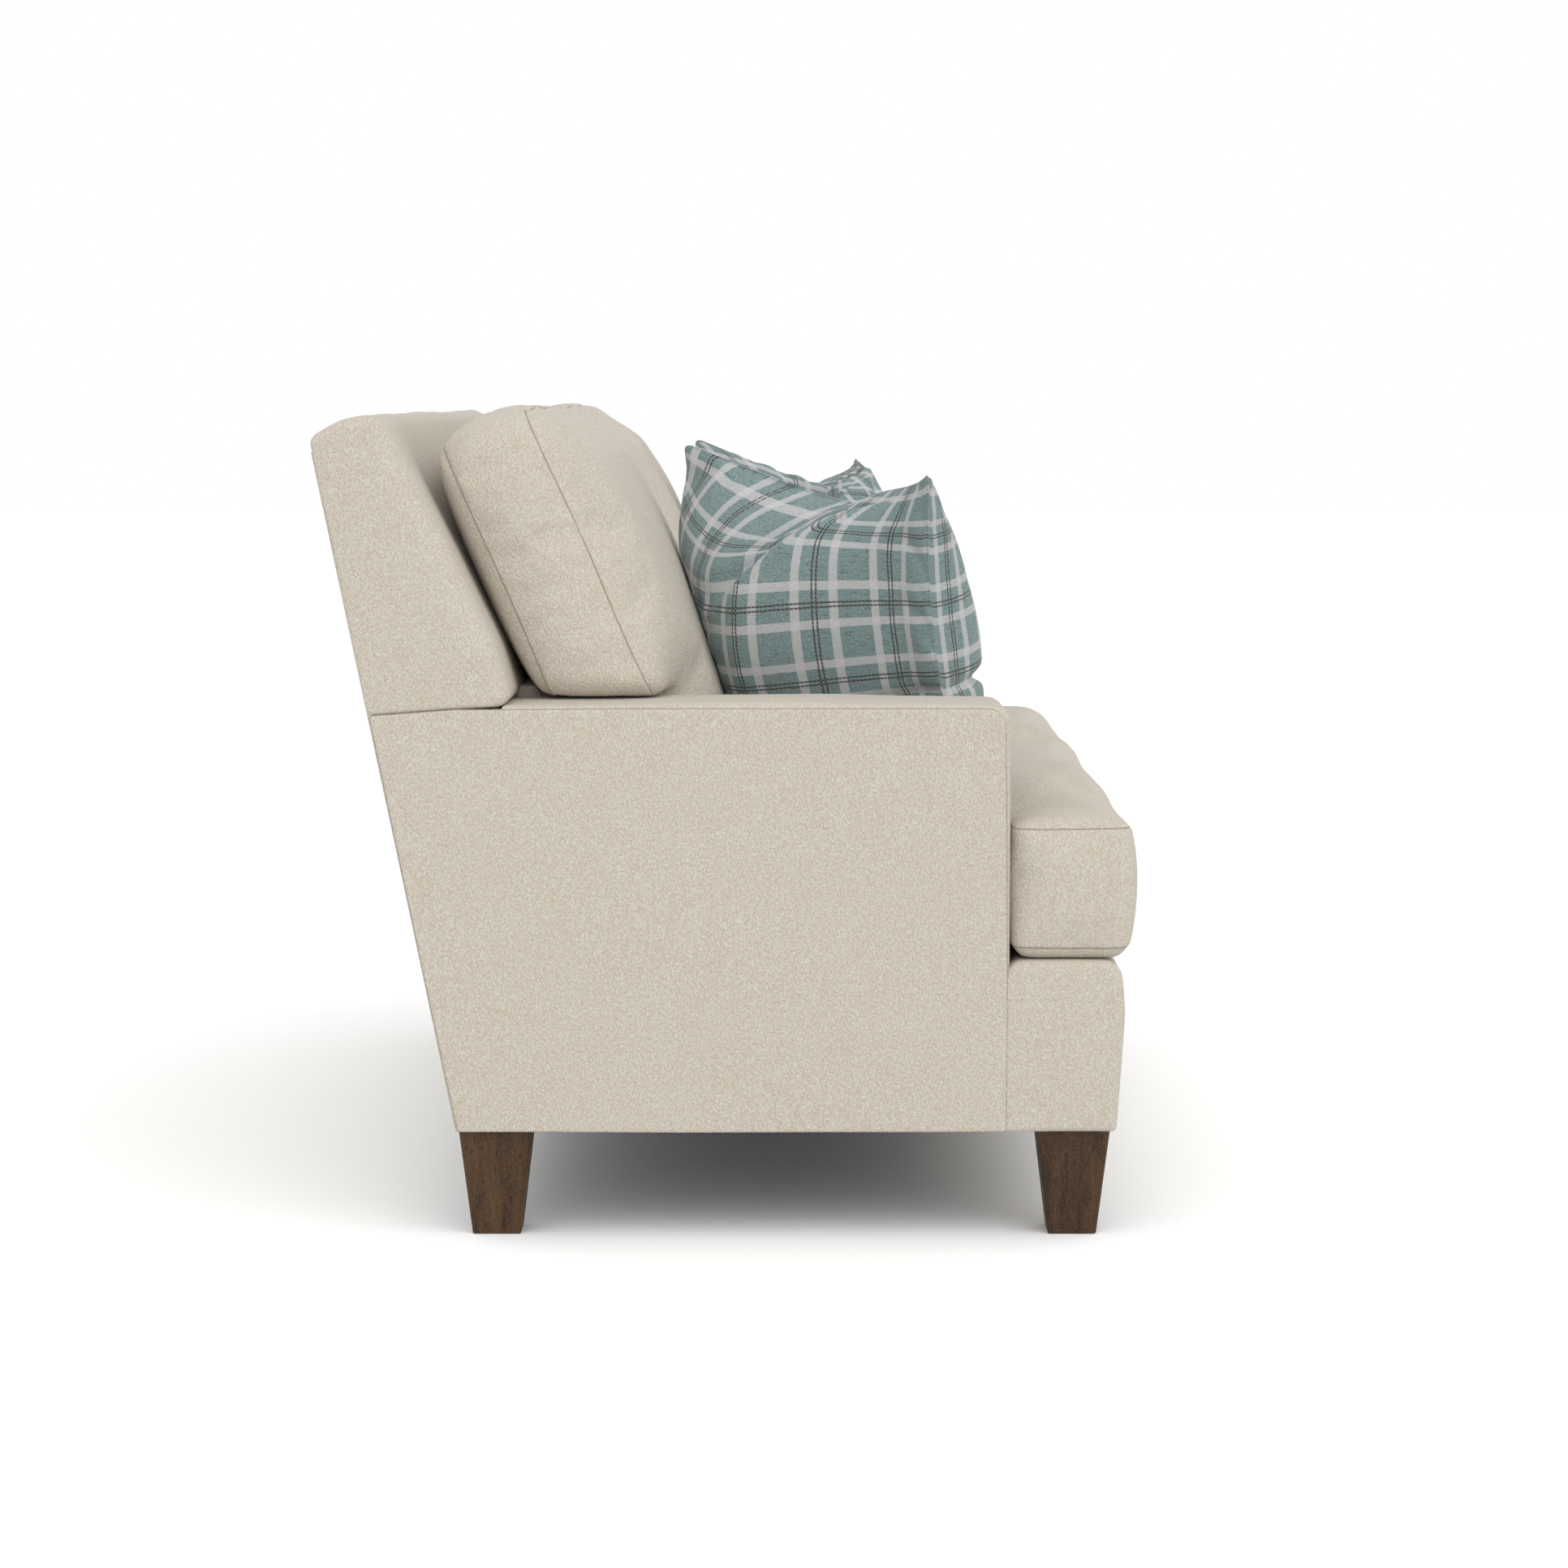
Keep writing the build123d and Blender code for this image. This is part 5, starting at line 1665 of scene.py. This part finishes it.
@dataclass
class BackCushion:
    """One T-shaped back cushion, leaning on the inside back with an ear over the arm.

    Args:
        layout: shared lines.
        side: which cushion.
        tilt: its lean from upright, in degrees.
        heel: the Y of its rear seam at the arm's height.
        boxing: the strip between the seams.
        top: its height along the lean above the arm.
        front_crown: the front panel's swell.
        rear_crown: the rear panel's swell.
        settling: the cloth run of the cover.
    """

    layout: Layout
    side: Side
    tilt: float = 24.0
    heel: float = 0.2015
    boxing: float = 0.107
    top: float = 0.330
    front_crown: float = 0.068
    rear_crown: float = 0.040
    settling: Settling = field(default_factory=lambda: Settling(3.5, 0.022, 18, 0.016))

    def build(self, finishes: Finishes) -> None:
        """Make, settle and dress the cushion.

        Args:
            finishes: the sofa's finishes.
        """
        label = self.side.label
        cover = f"back_cushion_cover_{label}"
        low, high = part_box(cover)
        near, far = sorted((abs(low.x), abs(high.x)))
        lean = math.radians(self.tilt)
        sine, cosine = math.sin(lean), math.cos(lean)
        arm = self.layout.arm_top
        middle = self.boxing / 2.0
        ear_low = (0.0012 - middle * sine) / cosine
        body_low = (low.z + 0.001 - arm - middle * sine) / cosine
        form = SewnForm(
            outer=(near, self.layout.arm_face - 0.0015, far - 0.001),
            inner=(body_low, ear_low, self.top),
            step_low=False,
            boxing=self.boxing,
            radii=(0.030, 0.036, 0.066, 0.050),
        )
        form.lay_out()
        seed = self.side.seed(61)
        pucker = waver(form.plan, 0.0014, 0.050, seed)[:, 0] * np.exp(-form.depth / 0.040)
        pucker *= 1.0 - 0.8 * ease_in(form.plan[:, 1], self.top - 0.06, self.top - 0.02)
        full = form.fullness**0.46
        sag = 1.0 - 0.06 * ease_in(-form.plan[:, 1], -0.25, 0.05)
        rise = self.front_crown * full * sag + pucker * (full > 0)
        fall = self.rear_crown * form.fullness**0.40 + 0.5 * pucker * (full > 0)
        rim = form.plan[form.edge]
        upper = ease_in(form.outward[:, 1], 0.2, 0.8)
        outer = ease_in(form.outward[:, 0], 0.2, 0.8) * ease_in(rim[:, 0], far - 0.05, far - 0.01)
        swell = 0.010 * upper + 0.0055 * outer + 0.0006
        zip_low, zip_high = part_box(f"back_zip_chain_{label}")
        ends = sorted((abs(zip_low.x), abs(zip_high.x)))
        dent = form.zip_channel(ends, -1.0, (zip_high.z - low.z + 0.002) / cosine)
        form.assemble(rise, fall, swell, dent)
        across, up, out = form.points.T
        level = ease_in(-up, -self.top * 0.75, -ear_low)
        up = up - (out - middle) * sine / cosine * level
        points = np.column_stack(
            (across, self.heel + up * sine - out * cosine, arm + up * cosine + out * sine)
        )
        points += waver(points, 0.0016, 0.15, seed + 100)
        points = self._pressed(points, low.z)
        points[:, 0] *= self.side.value
        piece = form.build(f"back_cushion_{label}", points, self.side is Side.RIGHT)
        self.settling.run(piece, form.held())
        put_places(piece, self._pressed(places(piece), low.z))
        self.face = places(piece)[form.panel > 0.6]
        add_rounding(piece)
        inside = f"back_cushion_fill_{label}"
        finishes.attach(piece, f"back_cushion_{label}", "upholstery", cover, inside, fill=0.75)

    def _pressed(self, points: Array, bottom: float) -> Array:
        """Flatten the cushion where it rests: on the inside back, the arm and the seat.

        Args:
            points: the cover's points, moved in place.
            bottom: the height of its underside.

        Returns:
            The same points.
        """
        points[:, 2] = np.maximum(points[:, 2], bottom)
        lay = self.layout
        aside = np.abs(points[:, 0])
        over_arm = aside > lay.arm_face + 0.004
        points[over_arm, 2] = np.maximum(points[over_arm, 2], lay.arm_top + 0.0045)
        wall = lay.arm_face - 0.001
        between = ~over_arm & (points[:, 2] < lay.arm_top) & (aside > wall)
        points[between, 0] *= wall / aside[between]
        hollow = 0.009 * ease_in(-points[:, 2], -0.86, -0.66)
        points[:, 1] = np.minimum(points[:, 1], lay.front(points[:, 2]) + hollow - 0.0012)
        return points


@dataclass
class ThrowPillow:
    """One knife-edged plaid pillow set corner-wise between arm and back, with a chop in its top.

    Its own axes are s, from its front corner (-1) to its rear one (1), and t, from its foot (-1) to
    its top (1).

    Args:
        layout: shared lines.
        side: which pillow.
        turn: the turn of its face from the sofa's length, in degrees.
        rest: points of the back cushion's front, which it leans on.
        lean: its lean from upright, in degrees.
        width: its width along the seat.
        height: its height.
        cloth: the width of its cover, laid flat.
        rear_loft: how far its rear panel stands out, into the sofa's corner.
        face_loft: how far its front panel stands out.
        side_pull: how far its front side draws in between the corners, as a share.
        dip: how far the chop drops its top edge.
        push: how far the chop pushes its top edge forwards.
        droop: how far its front top corner hangs.
        chop: where along the top the chop fell.
        crease: the crease across the rear panel: its t at s = 0, and its fall along s.
        weave_shift: how far the weave lies off the front panel's middle.
        shift: how far it has settled from the CAD cover's middle.
        settling: the cloth run of the cover.
    """

    layout: Layout
    side: Side
    turn: float
    rest: Array
    lean: float = 10.0
    width: float = 0.440
    height: float = 0.408
    cloth: float = 0.496
    rear_loft: float = 0.132
    face_loft: float = 0.150
    side_pull: float = 0.12
    dip: float = 0.084
    push: float = 0.070
    droop: float = 0.033
    chop: float = 0.1
    crease: tuple[float, float] = (0.525, 0.76)
    weave_shift: tuple[float, float] = (0.032, 0.0065)
    shift: tuple[float, float, float] = (0.0, 0.006, 0.004)
    settling: Settling = field(default_factory=lambda: Settling(2.0, 0.014, 16, 0.007))

    def build(self, finishes: Finishes) -> None:
        """Make, settle and dress the pillow.

        Args:
            finishes: the sofa's finishes.
        """
        label = self.side.label
        cover = f"throw_pillow_cover_{label}"
        half, tall = self.width / 2.0, self.height / 2.0
        form = SewnForm(
            outer=(-half, half, half),
            inner=(-tall, 0.0, tall),
            step_low=True,
            boxing=0.003,
            radii=(0.012, 0.012, 0.012, 0.012),
            cell=0.0060,
            lip=0.0022,
            rings=(0.5,),
        )
        form.lay_out()
        seed = self.side.seed(71)
        pucker = waver(form.flat, 0.0020, 0.040, seed)[:, 0] * np.exp(-form.depth / 0.030)
        rear, face = self._fullness(form.fullness, form.flat[:, 0] / half, form.flat[:, 1] / tall)
        pucker = pucker * (form.fullness > 0)
        form.assemble(face + pucker, rear + pucker, np.full(len(form.edge), 0.0004))
        form.cloth[:, 0] *= self.cloth / self.width
        form.cloth[:, 1] += 0.17 * tall * ease_in(form.cloth[:, 1] / tall, 0.5, 1.0)
        steps = np.hypot(np.diff(form.a)[:, None], np.diff(face[form.number], axis=0))
        reach = np.vstack((np.zeros(len(form.b)), np.cumsum(steps, axis=0)))[form.number >= 0]
        ahead = form.panel > 0.6
        form.cloth[ahead, 0] = reach - self.cloth / 2.0 + self.weave_shift[0]
        form.cloth[ahead, 1] += self.weave_shift[1]
        points = self._hang(form.points)
        facing = math.radians(self.turn)
        corner = np.array((self.side.value * math.cos(facing), math.sin(facing), 0.0))
        along = np.array((-self.side.value * math.sin(facing), math.cos(facing), 0.0))
        tip = math.radians(self.lean)
        up = corner * math.sin(tip) + np.array((0.0, 0.0, math.cos(tip)))
        out = np.cross(along, up) * (1.0 if np.cross(along, up) @ corner < 0 else -1.0)
        low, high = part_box(cover)
        centre = np.array((low + high) / 2.0) + np.array(self.shift)
        world = centre + points[:, :1] * along + points[:, 1:2] * up + points[:, 2:] * out
        mirrored = bool(np.cross(along, up) @ out < 0)
        piece = form.build(f"throw_pillow_{label}", self._pressed(world, low.z), mirrored)
        self.settling.run(piece, form.seam > 0.5)
        put_places(piece, self._pressed(places(piece), low.z))
        add_rounding(piece)
        insert = f"throw_pillow_insert_{label}"
        finishes.attach(piece, f"throw_pillow_{label}", "plaid", cover, insert, fill=0.6)

    def _fullness(self, full: Array, s: Array, t: Array) -> tuple[Array, Array]:
        """How far the two panels stand out.

        Args:
            full: the stretched cover's share of its fullest height.
            s: places along the cover.
            t: heights on the cover.

        Returns:
            The rear panel's and the front panel's height over the pillow's plane.
        """
        above = self._above_crease(s, t)
        valley = np.exp(-((above / np.where(above < 0.0, 0.040, 0.34)) ** 2))
        valley *= 1.0 - ease_in(s, 0.04, 0.34)
        fold = np.exp(-(((t + 0.47 + 0.12 * s) / 0.045) ** 2)) * ease_in(-s, 0.40, 0.75)
        notch = np.exp(-(((s - self.chop) / 0.5) ** 2)) * ease_in(t, 0.2, 0.8)
        ears = np.exp(-((1.0 - np.abs(s)) ** 2 + (1.0 - np.abs(t)) ** 2) / 0.25**2)
        toward = np.clip((s + 0.82) / 0.87, 0.03, 1.0)
        rear = self.rear_loft * full**0.72 * toward * (1.0 - 0.7 * ears)
        face = self.face_loft * full**0.36 * (1.0 - 0.7 * ears) * (1.0 - 0.25 * ease_in(t, -0.2, 0.9))
        face *= 1.0 - 0.42 * ease_in(s, -0.75, -0.1)
        rear = np.maximum(rear - 0.050 * valley, 0.15 * rear) - 0.008 * fold * (full > 0)
        face = face * (1.0 - 0.25 * notch) - 0.018 * fold * (full > 0)
        return rear, face

    def _above_crease(self, s: Array, t: Array) -> Array:
        """Distance above the crease that the chop leaves across the rear panel."""
        return t - (self.crease[0] - self.crease[1] * s)

    def _hang(self, points: Array) -> Array:
        """Draw the sides in, sag the cloth, drop the top under the chop and hang the front corner.

        Args:
            points: the cover's points along, up and out from the pillow's plane.

        Returns:
            The points, moved.
        """
        half, tall = self.width / 2.0, self.height / 2.0
        s, t = points[:, 0] / half, points[:, 1] / tall
        moved = points.copy()
        drawn = np.where(s > 0.0, 0.2 * self.side_pull, self.side_pull)
        moved[:, 0] = points[:, 0] * (1.0 - drawn * (1.0 - t**2))
        sag = 0.15 - 0.20 * ease_in(s, 0.35, 1.0)
        moved[:, 1] = tall * (t + sag * (t**2 - 1.0))
        room = np.where(s > self.chop, 1.0 - self.chop, 1.0 + self.chop)
        blow = 1.0 - np.clip(np.abs(s - self.chop) / room, 0.0, 1.0) ** 1.3
        upper = np.clip((t - 0.55) / 0.45, 0.0, 1.0)
        lobe = ease_in(self._above_crease(s, t), -0.03, 0.08)
        sunk = lobe * np.clip((t - 0.45) / 0.55, 0.0, 1.0) + (1.0 - lobe) * upper**1.6
        moved[:, 1] -= self.dip * blow * sunk
        moved[:, 1] -= self.droop * ease_in(-s, 0.1, 1.0) * ease_in(t, -0.2, 1.0)
        facing = math.radians(self.turn)
        push = self.push * blow * upper**2
        moved[:, 0] -= push * math.cos(facing)
        moved[:, 2] += push * math.sin(facing)
        return moved

    def _pressed(self, points: Array, seat: float) -> Array:
        """Flatten the pillow where it rests: on the back cushion, beside the arm and on the seat.

        Args:
            points: the cover's points.
            seat: the height of its underside.

        Returns:
            The points, flattened.
        """
        pressed = points.copy()
        for first in range(0, len(points), 400):
            some = pressed[first : first + 400]
            gap = ((some[:, None, ::2] - self.rest[None, :, ::2]) ** 2).sum(2)
            nearest = gap.argmin(1)
            close = gap.min(1) < 0.02**2
            wall = self.rest[nearest, 1] - 0.002
            some[close, 1] = np.minimum(some[close, 1], wall[close])
        beside = pressed[:, 2] < self.layout.arm_top + 0.004
        inner = self.layout.arm_face - 0.002
        pressed[beside, 0] = np.clip(pressed[beside, 0], -inner, inner)
        pressed[:, 2] = np.maximum(pressed[:, 2], seat)
        return pressed


class Carcass:
    """Frame, springs, legs and zips: CAD nodes that stay and get their finishes."""

    slots = {
        "leg_": "leg_wood",
        "leg_plates": "steel",
        "seat_springs": "steel",
        "spring_clips": "steel",
        "spring_tie_wires": "steel",
        "hanger_bolts": "steel",
        "glides": "glide_plastic",
        "back_webbing": "webbing",
        "seat_zip": "zip_plastic",
        "back_zip": "zip_plastic",
    }

    def dress(self, nodes: dict, finishes: Finishes) -> None:
        """Give each shown node its finish.

        Args:
            nodes: the frame's nodes by name.
            finishes: the sofa's finishes.
        """
        for name, node in nodes.items():
            if node.hide_render:
                continue
            found = [prefix for prefix in self.slots if name.startswith(prefix)]
            slot = self.slots[max(found, key=len)] if found else "frame_wood"
            finishes.put(node, slot)
            LOG.info("%s wears %s", name, slot)


@dataclass
class Studio:
    """The pale floor, the soft light and the camera.

    Args:
        eye: the camera's place.
        dip: how far it looks down, in degrees.
        lens: its focal length in millimetres on a 36 mm sensor.
        sky: the strength of the even light.
        sun: the strength of the broad lamp from the camera's side.
        sun_height: that lamp's height over the horizon, in degrees.
        sun_turn: its turn from the camera's side towards the sofa's front, in degrees.
        sun_spread: how broad it is, in degrees.
        floor_lit: the floor's grey for the light that it throws back.
        floor_seen: the floor's grey for the camera.
        reach: how far the floor runs.
    """

    eye: tuple[float, float, float] = (-5.3347, -0.0685, 0.9869)
    dip: float = 5.628
    lens: float = 90.0
    sky: float = 0.83
    sun: float = 1.22
    sun_height: float = 42.0
    sun_turn: float = 15.0
    sun_spread: float = 80.0
    floor_lit: float = 0.80
    floor_seen: float = 1.09
    reach: float = 30.0

    def build(self) -> None:
        """Make the stage."""
        bpy.context.scene.view_settings.view_transform = "Standard"
        self._camera()
        self._floor()
        self._world()
        self._sun()

    def _camera(self) -> None:
        """The camera beside the sofa, looking along +X."""
        data = bpy.data.cameras.new("side_camera")
        data.lens = self.lens
        data.sensor_width = 36.0
        camera = bpy.data.objects.new("side_camera", data)
        camera.location = self.eye
        camera.rotation_euler = (math.radians(90.0 - self.dip), 0.0, math.radians(-90.0))
        bpy.context.scene.collection.objects.link(camera)
        bpy.context.scene.camera = camera

    @staticmethod
    def _tone(nodes: NodeTree, kind: str, grey: float, **others: float) -> Socket:
        """A shader of one grey, with its other sockets by name."""
        return nodes.node(kind, None, {"Color": (grey, grey, grey), **others})

    @staticmethod
    def _join(nodes: NodeTree, lit: Socket, white: Socket) -> None:
        """Use one shader for the light on the sofa and another for what the camera sees.

        Args:
            nodes: the node tree.
            lit: the shader that lights the sofa.
            white: the shader for rays from the camera, from mirrors or through glass.
        """
        rays = ("Is Camera Ray", "Is Glossy Ray", "Is Transmission Ray")
        camera, mirror, glass = (nodes.node("ShaderNodeLightPath", output=ray) for ray in rays)
        seen = camera.largest(mirror).largest(glass)
        nodes.close(nodes.node("ShaderNodeMixShader", None, {0: seen, 1: lit, 2: white}))

    def _floor(self) -> None:
        """A wide pale floor that keeps the sofa's shadow."""
        signs = ((-1, -1), (1, -1), (1, 1), (-1, 1))
        corners = np.array([(x * self.reach, y * self.reach, 0.0) for x, y in signs])
        floor = make_piece("studio_floor", corners, [(0, 1, 2, 3)])
        material = bpy.data.materials.new("studio_floor")
        nodes = NodeTree(material)
        pale = self._tone(nodes, "ShaderNodeBsdfDiffuse", self.floor_lit)
        white = self._tone(nodes, "ShaderNodeBsdfDiffuse", self.floor_seen)
        self._join(nodes, pale, white)
        floor.data.materials.append(material)

    def _world(self) -> None:
        """An even sky that the camera sees as white."""
        world = bpy.data.worlds.new("studio")
        nodes = NodeTree(world)
        even = self._tone(nodes, "ShaderNodeBackground", 1.0, Strength=self.sky)
        white = self._tone(nodes, "ShaderNodeBackground", 1.0)
        self._join(nodes, even, white)
        bpy.context.scene.world = world

    def _sun(self) -> None:
        """One very broad lamp from the camera's side, as soft as a lit wall."""
        data = bpy.data.lights.new("broad_light", "SUN")
        data.energy = self.sun
        data.angle = math.radians(self.sun_spread)
        lamp = bpy.data.objects.new("broad_light", data)
        tip, turn = math.radians(90.0 - self.sun_height), math.radians(self.sun_turn - 90.0)
        lamp.rotation_euler = (tip, 0.0, turn)
        lamp.location = (-3.0, 0.0, 3.0)
        bpy.context.scene.collection.objects.link(lamp)


def main() -> None:
    """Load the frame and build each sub-assembly."""
    logging.basicConfig(level=logging.INFO, format="%(name)s: %(message)s")
    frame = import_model()
    Studio().build()
    finishes = Finishes()
    layout = Layout()
    for side in Side:
        Arm(layout, side).build(finishes)
    Back(layout).build(finishes)
    Base(layout).build(finishes)
    for side in Side:
        SeatCushion(layout, side).build(finishes)
        back_cushion = BackCushion(layout, side)
        back_cushion.build(finishes)
        ThrowPillow(layout, side, PILLOW_TURNS[side], back_cushion.face).build(finishes)
    Carcass().dress(frame["nodes"], finishes)


if __name__ == "__main__":
    main()
